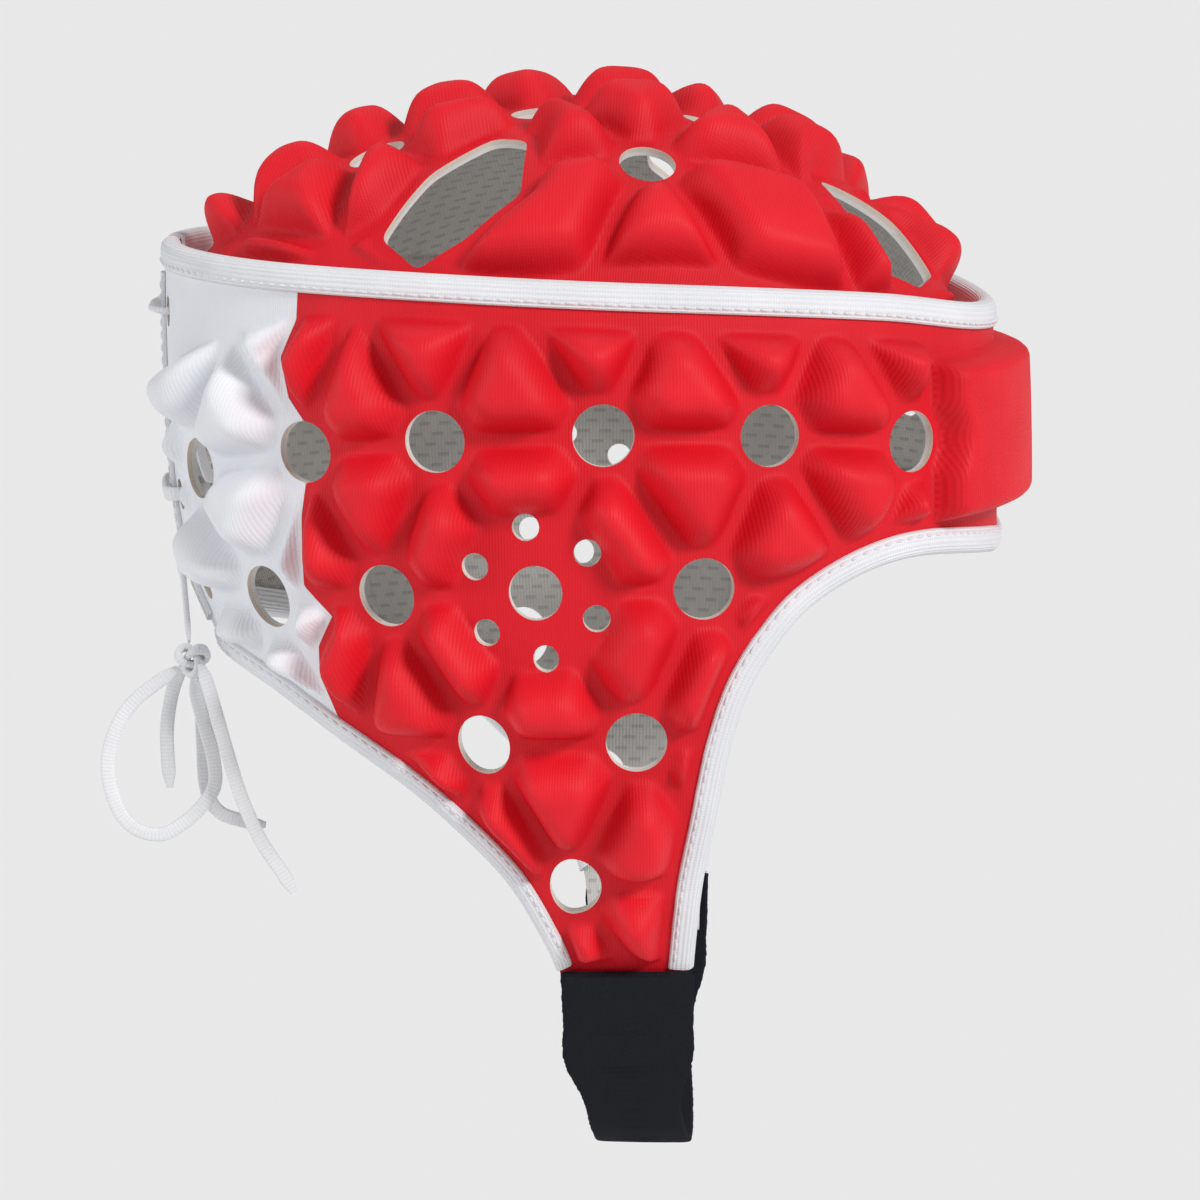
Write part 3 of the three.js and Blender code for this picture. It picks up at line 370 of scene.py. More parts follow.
def smooth_column(rows):
    """Value between the rows of a table, on a smooth curve."""
    keys, values = np.array(rows, dtype=float).T
    last = len(keys) - 1

    def value_at(at):
        at = np.asarray(at, dtype=float)
        row = np.clip(np.searchsorted(keys, at) - 1, 0, last - 1)
        before = np.maximum(row - 1, 0)
        beyond = np.minimum(row + 2, last)
        span = keys[row + 1] - keys[row]
        leave = (values[row + 1] - values[before]) / (keys[row + 1] - keys[before]) * span
        arrive = (values[beyond] - values[row]) / (keys[beyond] - keys[row]) * span
        s = (at - keys[row]) / span
        return (
            values[row] * (2 * s ** 3 - 3 * s ** 2 + 1) + leave * (s ** 3 - 2 * s ** 2 + s)
            + values[row + 1] * (3 * s ** 2 - 2 * s ** 3) + arrive * (s ** 3 - s ** 2)
        )
    return value_at


band_form = [  # down as a share of the flap's depth; front, rear and side as shares of the reach
    (0.1, 0.94, 1.01, 0.92),
    (0.14, 0.955, 1.01, 0.94),
    (0.236, 0.985, 1.01, 0.98),
    (0.377, 1, 1, 1),
    (0.495, 1, 0.975, 1),
    (0.566, 1, 0.93, 0.99),
    (0.637, 1, 0.876, 0.96),
    (0.778, 0.99, 0.775, 0.85),
    (1, 0.97, 0.65, 0.6),
    (1.2, 0.95, 0.6, 0.35),
]
front_form, rear_form, side_form = (
    smooth_column([(row[0], row[column]) for row in band_form]) for column in (1, 2, 3)
)
top_down = smooth_column([
    (-1, 0.146), (-0.64, 0.15), (-0.3, 0.153), (0, 0.159), (0.3, 0.168), (0.57, 0.183),
    (0.8, 0.205), (0.92, 0.212), (1, 0.213),
])


def quarter_arc(reach):
    """Turn and length along the band from the ear line to its front or back."""
    turn = np.linspace(0, QUARTER, 201)
    across = (BAND_SIDE + CLOTH_MIDDLE) * np.cos(turn)
    forward = (reach + CLOTH_MIDDLE) * np.sin(turn)
    return turn, lengths_along(np.column_stack([across, forward]))


front_turn, front_length = quarter_arc(BAND_FRONT)
rear_turn, rear_length = quarter_arc(BAND_REAR)
FRONT_WAY = front_length[-1]
REAR_WAY = rear_length[-1]


def folded(around):
    """The same way around, on the right side of the cap."""
    return np.minimum(around, 2 * FRONT_WAY - around)


def on_right(points):
    return np.column_stack([folded(points[:, 0]), points[:, 1]])


def angle_at(around):
    right = folded(around)
    ahead = np.interp(right, front_length, front_turn)
    behind = -np.interp(-right, rear_length, rear_turn)
    angle = np.where(right < 0, behind, ahead)
    return np.where(around > FRONT_WAY, math.pi - angle, angle)


def band_point(angle, level, margin=0):
    down = -level / FLAP_DEPTH
    reach = np.where(
        np.sin(angle) < 0, BAND_REAR * rear_form(down), BAND_FRONT * front_form(down))
    side = BAND_SIDE * side_form(down)
    return np.stack([
        (reach - margin) * np.sin(angle), -(side - margin) * np.cos(angle),
        level + 0 * angle,
    ], axis=-1)


def lifted(flat_to_space):
    """A surface from its flat pattern, with a point lifted off it along its normal."""
    step = 0.05

    def place(x, y, out):
        along_x = flat_to_space(x + step, y) - flat_to_space(x - step, y)
        along_y = flat_to_space(x, y + step) - flat_to_space(x, y - step)
        normal = unit(np.cross(along_x, along_y))
        return flat_to_space(x, y) + normal * np.asarray(out, dtype=float)[..., None]
    return place


on_band = lifted(lambda around, level: band_point(angle_at(around), level))


def placed(rows):
    """Points from a table of shares: around, of the way to the front or back, and down."""
    rows = np.array(rows)
    way = np.where(rows[:, 0] < 0, REAR_WAY, FRONT_WAY)
    return np.column_stack([rows[:, 0] * way, -rows[:, 1] * FLAP_DEPTH])


def top_level(around):
    right = folded(around)
    return -FLAP_DEPTH * top_down(right / np.where(right < 0, REAR_WAY, FRONT_WAY))


def top_line(start, end):
    around = np.linspace(start, end, max(2, round(abs(end - start) / FINE)))
    return np.column_stack([around, top_level(around)])


def mirrored(line):
    """The same line on the left side of the cap, run the other way."""
    return np.column_stack([2 * FRONT_WAY - line[:, 0], line[:, 1]])[::-1]


def circle(centre, radius):
    count = max(12, round(2 * math.pi * radius / FINE))
    turn = np.linspace(0, 2 * math.pi, count, endpoint=False)
    return np.array(centre) + radius * np.column_stack([np.cos(turn), np.sin(turn)])


VENT_RADIUS = 7.2
VENT_RIM = 1.9
FOREHEAD_HALF_WIDTH = 46
FIRST_VENT_AROUND = 7.2
FIRST_VENT_DROP = 33.7
LAST_VENT_RISE = 36
FRONT_VENT_GAP = 6.5
VENT_ROWS = 4
SEAM_HALF_GAP = 0.06
forehead_rear = FRONT_WAY - FOREHEAD_HALF_WIDTH
vent_pitch = (forehead_rear - FRONT_VENT_GAP - FIRST_VENT_AROUND) / 2
first_vent_level = float(top_level(np.array(0.0))) - FIRST_VENT_DROP
vent_row_drop = (FLAP_DEPTH + first_vent_level - LAST_VENT_RISE) / (VENT_ROWS - 1)


def vent_place(row, column):
    row_lean = 3.8
    rear_droop = 20
    front_lift = 0.03
    seam_tuck = 5.4
    around = FIRST_VENT_AROUND + row * (row_lean - vent_pitch / 2) + column * vent_pitch
    tuck_start = FIRST_VENT_AROUND - vent_pitch
    around += min(max((tuck_start - around) / vent_pitch, 0), 1) * seam_tuck
    droop = rear_droop * max(0, 1 - row / 2) * (around / REAR_WAY) ** 2
    return np.array((
        around, first_vent_level - row * vent_row_drop - droop + front_lift * around))


EAR_RADIUS = 6.4
EAR_FLAT = 18.5
EAR_RING = 15.5
EAR_HOLE_RADIUS = 3.2
EAR_HOLES = 6
EAR_TURN = 0.14
ear = (1, 0)
seam_vent = vent_place(0, -2)
red_vents = [(0, -1), (0, 0), (0, 1), (0, 2), (1, -1), (1, 1), (2, 0), (2, 1), (3, 1)]
white_vents = [(0, -3), (1, -2)]


def seam_line(side):
    """Side seam from top to bottom; it goes round the vent on the side where the cloth is cut."""
    above = placed([(-0.478, 0.1515), (-0.482, 0.204), (-0.516, 0.247), (-0.5, 0.29)])
    below = placed([
        (-0.482, 0.42), (-0.49, 0.498), (-0.44, 0.529), (-0.485, 0.565), (-0.5, 0.6),
        (-0.471, 0.6745),
    ])
    above[0, 1] = top_level(above[0, 0])
    turn = QUARTER - side * np.linspace(0, math.pi, 16)
    arc = seam_vent + VENT_RADIUS * np.column_stack([np.cos(turn), np.sin(turn)])
    seam = even(np.vstack([above, arc, below]), FINE)
    return seam + np.array((side * SEAM_HALF_GAP, 0))


seam_front = seam_line(1)
seam_rear = seam_line(-1)
nape_rows = placed([
    (-0.81, 0.594), (-0.637, 0.6226), (-0.471, 0.6745), (-0.36, 0.7136), (-0.266, 0.757),
    (-0.154, 0.8226), (-0.079, 0.895), (-0.0455, 0.94), (-0.03, 1),
])
face_line = smooth_line(placed([
    (0.193, 1), (0.195, 0.94), (0.211, 0.833), (0.2345, 0.75), (0.258, 0.67), (0.29, 0.604),
    (0.34, 0.552), (0.409, 0.507), (0.52, 0.474), (0.65, 0.464), (0.85, 0.478), (0.95, 0.487),
    (1, 0.488),
]), FINE)
nape_red = smooth_line(np.vstack([seam_front[-1:], nape_rows[3:]]), FINE)
nape_white = smooth_line(np.vstack([nape_rows[:2], seam_rear[-1:]]), FINE)
laced_line = smooth_line(placed([
    (-0.972, 0.146), (-0.968, 0.25), (-0.955, 0.38), (-0.9, 0.475), (-0.81, 0.594),
]), FINE)
flap_end = even(np.vstack([nape_red[-1], face_line[0]]), FINE)
half = np.vstack([seam_front[:-1], nape_red[:-1], flap_end[:-1], face_line[:-1]])
across_top = top_line(2 * FRONT_WAY - seam_front[0, 0], seam_front[0, 0])
red_outline = np.vstack([half, face_line[-1:], mirrored(half), across_top[1:-1]])
white_outline = np.vstack([
    laced_line[:-1], nape_white[:-1], seam_rear[::-1][:-1],
    top_line(seam_rear[0, 0], laced_line[0, 0])[:-1],
])


def closed(ring):
    return np.vstack([ring, ring[:1]])


def distance_to(points, line):
    """Distance from each point to a line of straight stretches."""
    nearest = np.full(len(points), np.inf)
    for start, end in zip(line[:-1], line[1:]):
        stretch = end - start
        share = np.clip((points - start) @ stretch / (stretch @ stretch), 0, 1)
        away = np.linalg.norm(points - start - share[:, None] * stretch, axis=1)
        nearest = np.minimum(nearest, away)
    return nearest


def is_inside(points, rings):
    """Whether each point is inside the first ring and outside the others."""
    inside = np.zeros(len(points), dtype=bool)
    for ring in rings:
        for (x0, y0), (x1, y1) in zip(ring, np.roll(ring, -1, axis=0)):
            if y0 == y1:
                continue
            crosses = (y0 > points[:, 1]) != (y1 > points[:, 1])
            inside ^= crosses & (points[:, 0] < (x1 - x0) * (points[:, 1] - y0) / (y1 - y0) + x0)
    return inside


def lattice_inside(rings, spacing):
    """Points of a triangular lattice inside the rings and clear of their borders."""
    low = rings[0].min(axis=0)
    high = rings[0].max(axis=0)
    points = []
    row_step = spacing * math.sin(math.pi / 3)
    for row in range(int((high[1] - low[1]) / row_step) + 1):
        x = np.arange(low[0] + (row % 2) * spacing / 2, high[0], spacing)
        points.append(np.column_stack([x, np.full(len(x), low[1] + row * row_step)]))
    points = np.vstack(points)
    points = points[is_inside(points, rings)]
    border = np.vstack(rings)
    tree = KDTree(len(border))
    for place, (x, y) in enumerate(border):
        tree.insert((x, y, 0), place)
    tree.balance()
    clearance = 0.6 * spacing
    clear = [tree.find((x, y, 0))[2] > clearance for x, y in points]
    return points[clear]


def triangulated(rings, spacing):
    """Points inside the rings, triangles between them, and the numbers of each ring's own points."""
    numbers = []
    for ring in rings:
        start = sum(len(before) for before in numbers)
        numbers.append([start + k for k in range(len(ring))])
    border_edges = [edge for ring in numbers for edge in zip(ring, ring[1:] + ring[:1])]
    points = np.vstack([*rings, lattice_inside(rings, spacing)])
    made = delaunay_2d_cdt([Vector(point) for point in points], border_edges, [], 0, 1e-5)
    flat = np.array([vertex[:] for vertex in made[0]])
    faces = np.array([face for face in made[2] if len(face) == 3])
    faces = faces[is_inside(flat[faces].mean(axis=1), rings)]
    first, second, third = (flat[faces[:, corner]] for corner in range(3))
    turned = np.cross(second - first, third - first) < 0
    faces[turned] = faces[turned][:, ::-1]
    made_from = {given: number for number, all_given in enumerate(made[3]) for given in all_given}
    return flat, faces, [[made_from[number] for number in ring] for ring in numbers]


def wrapped_sheet(name, surface, outline, holes, low, high, lift_at=None, spacing=FINE):
    """Closed sheet with holes, cut from a flat pattern and wrapped on a surface. Its cut edges take
    the second material, and lift_at raises its outer face."""
    rings = [outline, *holes]
    flat, faces, borders = triangulated(rings, spacing)
    lift = lift_at(flat) if lift_at else np.zeros(len(flat))
    outer = surface(flat[:, 0], flat[:, 1], high + lift)
    inner_flat, inner_faces, inner_borders = triangulated(rings, HIDDEN_SPACING)
    inner = surface(inner_flat[:, 0], inner_flat[:, 1], np.full(len(inner_flat), low))
    walls = []
    cut_edges = set()
    for outer_ring, inner_ring in zip(borders, inner_borders):
        for k in range(len(outer_ring)):
            a, b = outer_ring[k - 1], outer_ring[k]
            c, d = (len(flat) + number for number in (inner_ring[k], inner_ring[k - 1]))
            walls.append((d, c, b, a))
            cut_edges |= {frozenset((a, b)), frozenset((c, d))}
    mesh = smooth_mesh(
        name, np.vstack([outer, inner]) / METRE,
        faces.tolist() + (inner_faces[:, ::-1] + len(flat)).tolist() + walls,
    )
    pattern = np.vstack([flat, inner_flat])
    corners = np.zeros(len(mesh.loops), dtype=int)
    mesh.loops.foreach_get("vertex_index", corners)
    cloth = mesh.uv_layers.new(name="cloth")
    cloth.data.foreach_set("uv", pattern[corners].ravel())
    # The share of pad height, which the cloth shader uses to paint shade in the channels and a
    # highlight on the pad crowns.
    rise = mesh.attributes.new("lift", "FLOAT", "POINT")
    rise.data.foreach_set("value", np.concatenate([lift, np.zeros(len(inner_flat))]) / PAD_RISE)
    finishes = np.zeros(len(mesh.polygons), dtype=int)
    finishes[len(faces) + len(inner_faces):] = 1
    mesh.polygons.foreach_set("material_index", finishes)
    for edge in mesh.edges:
        edge.use_edge_sharp = frozenset(edge.vertices) in cut_edges
    return mesh


# Pads of the band: each fills the triangle between three vents, less half a channel on each side,
# with its corners rounded off round the vents. They get lower where a border cuts them short.
PAD_RISE = 9.6
PAD_REACH = 8.6  # how far in from its foot a pad has its full height
CHANNEL = 3.2
EDGE_MARGIN = 7.0
TOP_MARGIN = 8.8
SEAM_MARGIN = 1.4
FLAP_END_MARGIN = 16.2
FOREHEAD_RISE = 8.4
FOREHEAD_REACH = 4.6
FOREHEAD_TOP_GAP = 8.3
FOREHEAD_BOTTOM_GAP = 5.8


def crowned(depth, reach=PAD_REACH):
    """Height share of a moulded pad, from how far a place lies inside its foot."""
    soft_start = 0.35
    fullness = 2.7
    depth = np.sqrt(np.maximum(depth, 0) ** 2 + soft_start ** 2) - soft_start
    share = np.clip(depth / reach, 0, 1)
    return 1 - (1 - share) ** fullness


def upright(ring):
    """The ring run so that its inside lies to its left."""
    following = np.roll(ring, -1, axis=0)
    turned = (ring[:, 0] * following[:, 1] - ring[:, 1] * following[:, 0]).sum()
    return ring if turned > 0 else ring[::-1]


def leftwards(along):
    return np.column_stack([-along[:, 1], along[:, 0]])


def pads_lift(points, outlines, room):
    """Height of the pads over the panel: every side and border rounds its own shoulder."""
    lift = np.zeros(len(points))
    for corners in outlines:
        corners = upright(np.array(corners))
        inwards = leftwards(unit(np.roll(corners, -1, axis=0) - corners))
        near = np.all(
            (points > corners.min(axis=0)) & (points < corners.max(axis=0)), axis=1)
        share = crowned(room[near])
        for corner, inward in zip(corners, inwards):
            share = share * crowned((points[near] - corner) @ inward - CHANNEL / 2)
        lift[near] = np.maximum(lift[near], PAD_RISE * share)
    return lift


def lattice_triangles(node_at, rows, columns):
    triangles = []
    for row in rows:
        for column in columns:
            here = node_at(row, column)
            right = node_at(row, column + 1)
            below = node_at(row + 1, column + 1)
            below_left = node_at(row + 1, column)
            triangles += [(here, below, right), (here, below_left, below)]
    return triangles


band_triangles = lattice_triangles(vent_place, range(-1, 5), range(-4, 6))
vent_rims = [
    (vent_place(*vent), VENT_RADIUS + VENT_RIM) for vent in [*red_vents, *white_vents, (0, -2)]
] + [(vent_place(*ear), EAR_FLAT)]


def band_room(points, borders):
    """How far each point lies inside the room for pads, between the borders and the vents."""
    rooms = [distance_to(points, line[::3]) - margin for line, margin in borders]
    rooms += [np.linalg.norm(points - centre, axis=1) - reach for centre, reach in vent_rims]
    return np.min(rooms, axis=0)


def forehead_lift(points):
    """The smooth pad across the forehead, notched round the nearest vent."""
    top = float(top_level(np.array(FRONT_WAY))) - FOREHEAD_TOP_GAP
    bottom = face_line[:, 1].max() + FOREHEAD_BOTTOM_GAP
    centre, reach = vent_place(0, 2), VENT_RADIUS + VENT_RIM
    share = crowned(np.linalg.norm(points - centre, axis=1) - reach, FOREHEAD_REACH)
    for depth in (points[:, 0] - forehead_rear, top - points[:, 1], points[:, 1] - bottom):
        share = share * crowned(depth, FOREHEAD_REACH)
    return FOREHEAD_RISE * share


def headband_lift(points):
    points = on_right(points)
    room = band_room(points, [
        (seam_front, SEAM_MARGIN), (nape_red, EDGE_MARGIN), (face_line, EDGE_MARGIN),
        (top_line(seam_front[0, 0], FRONT_WAY), TOP_MARGIN),
        (flap_end, FLAP_END_MARGIN),
    ])
    room = np.minimum(room, forehead_rear - CHANNEL - points[:, 0])
    return np.maximum(pads_lift(points, band_triangles, room), forehead_lift(points))


def cloth_material(name, dark, light, foot, crown):
    """Knit over foam: painted shade makes it darker in the channels, and a painted highlight, with
    the lighter look of knit stretched over a pad, makes it brighter on the pad crowns.
    """
    material, tree = new_material(name)
    woven = grouped(tree, knit, mapped_place(tree), Wale=0.72, Course=0.5, Fuzz=0.35)
    lift = node(tree, "ShaderNodeAttribute", attribute_name="lift").outputs["Fac"]
    channel_shaded_dye = two_tone(tree, woven["Tone"], dark, light)
    stretched_and_highlit = two_tone(tree, woven["Tone"], foot, crown)
    # Painted shade and highlight: the colour runs from the channel tone at the foot of each pad to
    # the brighter crown tone, by pad height.
    colour = two_tone(tree, math_node(tree, "MULTIPLY", lift, 0.55), channel_shaded_dye, stretched_and_highlit)
    rough = math_node(tree, "MULTIPLY_ADD", woven["Tone"], -0.12, 0.66)
    finish_material(tree, {
        "Base Color": colour, "Roughness": rough, "Sheen Weight": 0.15, "Sheen Tint": (*crown, 1),
        "Sheen Roughness": 0.45, "Specular IOR Level": 0.3,
        "Normal": bumped(tree, woven["Height"], 0.00018, 0.45),
    })
    return material


def grained(name, texture, scale, dark, light, roughness, depth):
    """Colour and fine relief from one texture, such as the small cells of cut foam."""
    material, tree = new_material(name)
    grain = node(tree, texture, {"Scale": scale}).outputs[0]
    finish_material(tree, {
        "Base Color": two_tone(tree, grain, dark, light), "Roughness": roughness,
        "Normal": bumped(tree, grain, depth, 0.5),
    })
    return material


# Dye tones for the channels, which hold painted shade, and lighter tones for the pad crowns, which
# hold a painted highlight along with the look of stretched knit.
red_knit = cloth_material(
    "red_knit", (0.56, 0.002, 0.010), (0.76, 0.005, 0.018),
    (0.70, 0.004, 0.015), (0.92, 0.014, 0.026))
foam_edge = grained(
    "foam_edge", "ShaderNodeTexVoronoi", 1400.0, (0.62, 0.50, 0.42), (0.90, 0.82, 0.72),
    roughness=0.85, depth=0.0003)

ear_place = vent_place(*ear)
ear_holes = [circle(ear_place, EAR_RADIUS)]
for hole in range(EAR_HOLES):
    turn = QUARTER + EAR_TURN + hole / EAR_HOLES * 2 * math.pi
    centre = ear_place + EAR_RING * np.array((math.cos(turn), math.sin(turn)))
    ear_holes.append(circle(centre, EAR_HOLE_RADIUS))
red_half_holes = [circle(vent_place(*vent), VENT_RADIUS) for vent in red_vents] + ear_holes
red_holes = red_half_holes + [mirrored(ring) for ring in red_half_holes]


def padded_panel(name, surface, outline, holes, lift_at, cloth):
    mesh = wrapped_sheet(name, surface, outline, holes, PANEL_FACE, PANEL_OUTER, lift_at)
    panel = linked(f"{name}_cloth", mesh, [cloth, foam_edge], name)


padded_panel("headband", on_band, red_outline, red_holes, headband_lift, red_knit)


# Rear panels: the same moulded foam under white knit, one behind each ear, with four slots along
# the open edge for the lace.
# Dye tones for the channels, which hold painted shade, and lighter tones for the pad crowns, which
# hold a painted highlight along with the look of stretched knit.
white_knit = cloth_material(
    "white_knit", (0.72, 0.74, 0.79), (0.85, 0.86, 0.90),
    (0.78, 0.79, 0.83), (0.90, 0.91, 0.94))
EYELET_INSET = 11.1
EYELET_LENGTH = 7.5
EYELET_WIDTH = 4.6
EYELETS = 4
LACED_MARGIN = 13.6


def eyelet(number):
    """Middle and rounded slot of one eyelet, counted from the top."""
    index = (number + 0.7) / (EYELETS + 0.5) * (len(laced_line) - 1)
    at = int(index)
    step = laced_line[at + 1] - laced_line[at]
    centre = laced_line[at] + (index - at) * step + np.array((EYELET_INSET, 0))
    way = unit(step)
    across = np.array((way[1], -way[0]))
    section = rounded_section(EYELET_WIDTH, EYELET_LENGTH, 20, 0.8)
    return centre, centre + section[:, :1] * across + section[:, 1:] * way


eyelet_places, eyelet_rings = zip(*(eyelet(number) for number in range(EYELETS)))


def white_lift(points):
    points = on_right(points)
    room = band_room(points, [
        (seam_rear, SEAM_MARGIN), (nape_white, EDGE_MARGIN), (laced_line, LACED_MARGIN),
        (top_line(laced_line[0, 0], seam_rear[0, 0]), TOP_MARGIN),
    ])
    return pads_lift(points, band_triangles, room)


white_half_holes = [circle(vent_place(*vent), VENT_RADIUS) for vent in white_vents]
white_half_holes += eyelet_rings
rear_panels = {
    "right": (white_outline, white_half_holes),
    "left": (mirrored(white_outline), [mirrored(ring) for ring in white_half_holes]),
}
for side, (outline, holes) in rear_panels.items():
    padded_panel(
        f"rear_panel_{side}", on_band, outline, holes, white_lift, white_knit)


# Crown: a separate dome of the same red foam panel, sewn in along the inside of the band. It has
# five vents and four large windows, and its two side arms have long pads.
CROWN_OVERLAP = 8
CROWN_MARGIN = 5.9
CROWN_PITCH = 38.5
CROWN_TURN = 0.21
CROWN_VENT_RADIUS = 6.8
CROWN_RIM_MARGIN = 9
WINDOW_MARGIN = 3
MIDDLE_VENT = (-10, -8)
dome_front, dome_rear, dome_side = 1.22, 1.05, 1.13  # angle of the dome at its rim, in radians


def crown_profile(angle, share):
    turn = np.arcsin(np.sin(angle))
    front = np.interp(np.abs(turn), front_turn, front_length) / FRONT_WAY
    rear = np.interp(np.abs(turn), rear_turn, rear_length) / REAR_WAY
    way_share = np.where(turn < 0, -rear, front)
    level = -FLAP_DEPTH * top_down(way_share) - CROWN_OVERLAP
    rim = band_point(angle, level, CROWN_MARGIN)
    end = np.where(np.sin(angle) < 0, dome_rear, dome_front)
    dome = dome_side + (end - dome_side) * np.sin(angle) ** 2
    reach = np.sin(share * dome) / np.sin(dome)
    drop = (1 - np.cos(share * dome)) / (1 - np.cos(dome))
    return rim * np.stack([reach, reach, drop], axis=-1)


def profile_length(angle):
    share = np.linspace(0, 1, 25)
    return lengths_along(crown_profile(np.full_like(share, angle), share))[-1]


crown_front_way = profile_length(QUARTER)
crown_rear_way = profile_length(-QUARTER)
crown_side_way = profile_length(0.0)


def crown_flat(along, across):
    x = along / np.where(along < 0, crown_rear_way, crown_front_way)
    y = across / crown_side_way
    return crown_profile(np.arctan2(x, -y), np.hypot(x, y))


on_crown = lifted(crown_flat)


def crown_place(rows):
    rows = np.array(rows)
    way = np.where(rows[:, 0] < 0, crown_rear_way, crown_front_way)
    return np.column_stack([rows[:, 0] * way, rows[:, 1] * crown_side_way])


def rounded_ring(ring):
    """The ring with its corners rounded off."""
    radius = 2.5
    apart = 2.2  # keeps two roundings from meeting on a short side
    share = np.linspace(0, 1, 5)[:, None]
    bends = []
    for before, corner, after in zip(np.roll(ring, 1, axis=0), ring, np.roll(ring, -1, axis=0)):
        far_before = np.linalg.norm(before - corner)
        far_after = np.linalg.norm(after - corner)
        reach = min(radius, far_before / apart, far_after / apart)
        start = corner + (before - corner) / far_before * reach
        end = corner + (after - corner) / far_after * reach
        bends.append(
            (1 - share) ** 2 * start + 2 * share * (1 - share) * corner + share ** 2 * end)
    return upright(even(closed(np.vstack(bends)), FINE)[:-1])


rear_window = crown_place([
    (-0.113, -0.345), (-0.123, -0.6), (-0.245, -0.74), (-0.368, -0.81), (-0.443, -0.667),
    (-0.32, -0.452), (-0.18, -0.31),
])
front_window = crown_place([
    (0.5, -0.18), (0.574, -0.262), (0.722, -0.42), (0.815, -0.31), (0.833, -0.12), (0.7, 0.0),
])
crown_windows = [
    rounded_ring(ring) for ring in (rear_window, front_window, -rear_window, -front_window)
]
rim_turn = np.linspace(0, 2 * math.pi, 360, endpoint=False)
crown_outline = crown_place(np.column_stack([np.cos(rim_turn), np.sin(rim_turn)]))


def crown_node(m, n):
    along = CROWN_PITCH * np.array((math.cos(CROWN_TURN), math.sin(CROWN_TURN)))
    aside_turn = CROWN_TURN - math.pi / 3
    aside = CROWN_PITCH * np.array((math.cos(aside_turn), math.sin(aside_turn)))
    return np.array(MIDDLE_VENT) + m * along + n * aside


crown_vents = [crown_node(m, n) for m, n in ((0, 0), (0, 1), (1, 0), (0, -1), (-1, 0))]
long_pads = [((0, 1), (0, 2), (1, 2), (1, 1)), ((0, 1), (-1, 1), (-2, 2), (-1, 2))]
long_pads += [tuple((-m, -n) for m, n in pad) for pad in long_pads]
long_corners = [upright(np.array([crown_node(m, n) for m, n in pad])) for pad in long_pads]
crown_triangles = [
    corners for corners in lattice_triangles(
        lambda row, column: crown_node(column - row, row), range(-4, 4), range(-8, 8))
    if not any(is_inside(np.mean(corners, axis=0)[None], [pad])[0] for pad in long_corners)
]


def crown_lift(points):
    rooms = [distance_to(points, closed(crown_outline)[::6]) - CROWN_RIM_MARGIN]
    rooms += [distance_to(points, closed(ring)) - WINDOW_MARGIN for ring in crown_windows]
    reach = CROWN_VENT_RADIUS + VENT_RIM
    rooms += [np.linalg.norm(points - centre, axis=1) - reach for centre in crown_vents]
    return pads_lift(points, [*crown_triangles, *long_corners], np.min(rooms, axis=0))


crown_holes = crown_windows + [circle(centre, CROWN_VENT_RADIUS) for centre in crown_vents]
padded_panel("crown", on_crown, crown_outline, crown_holes, crown_lift, red_knit)


# Linings: a thin grey mesh cloth laid under each panel and cut with it, so that its pale edge shows
# round the holes. Rows of short dashes run along it.
def dash_group():
    """Rows of short dashes, each row shifted from the last."""
    tree = bpy.data.node_groups.new("dashes", "ShaderNodeTree")
    given = group_inputs(tree, "Row", "Pitch", "Share")
    place = node(tree, "ShaderNodeSeparateXYZ", {0: given["Place"]})
    rows = math_node(tree, "DIVIDE", place.outputs["Y"], given["Row"])
    shift = math_node(tree, "MULTIPLY", math_node(tree, "FLOOR", rows), 0.37)
    turns = math_node(tree, "DIVIDE", place.outputs["X"], given["Pitch"])
    along = math_node(tree, "FRACT", math_node(tree, "ADD", turns, shift))
    across = math_node(tree, "ABSOLUTE", math_node(
        tree, "SUBTRACT", math_node(tree, "FRACT", rows), 0.5))
    in_dash = math_node(tree, "LESS_THAN", along, given["Share"])
    in_row = math_node(tree, "LESS_THAN", across, 0.16)
    group_outputs(tree, Mask=math_node(tree, "MULTIPLY", in_dash, in_row))
    return tree


dashes = dash_group()


def lining_material():
    material, tree = new_material("lining_mesh")
    place = mapped_place(tree)
    woven = grouped(tree, knit, place, Wale=0.9, Course=0.9, Fuzz=0.8)
    rows = grouped(tree, dashes, place, Row=2.7, Pitch=5.6, Share=0.55)
    ground = two_tone(tree, woven["Tone"], (0.46, 0.44, 0.42), (0.62, 0.60, 0.57))
    dashed = math_node(tree, "MULTIPLY", rows["Mask"], 0.45)
    colour = two_tone(tree, dashed, ground, (0.27, 0.25, 0.25))
    height = math_node(tree, "SUBTRACT", woven["Height"], rows["Mask"])
    finish_material(tree, {
        "Base Color": colour, "Roughness": 0.85,
        "Normal": bumped(tree, height, 0.0003, 0.6),
    })
    return material


lining_mesh = lining_material()
lining_edge = grained(
    "lining_edge", "ShaderNodeTexVoronoi", 1400.0, (0.70, 0.68, 0.66), (0.92, 0.91, 0.89),
    roughness=0.85, depth=0.0003)
linings = {
    "headband_lining": (on_band, red_outline, red_holes),
    "rear_lining_right": (on_band, *rear_panels["right"]),
    "rear_lining_left": (on_band, *rear_panels["left"]),
    "crown_lining": (on_crown, crown_outline, crown_holes),
}
LINING_FACE = PANEL_FACE - 0.02
LINING_SPACING = 3.2
for name, (surface, outline, holes) in linings.items():
    linked(f"{name}_cloth", wrapped_sheet(
        name, surface, outline, holes, 0, LINING_FACE, spacing=LINING_SPACING,
    ), [lining_mesh, lining_edge], name)


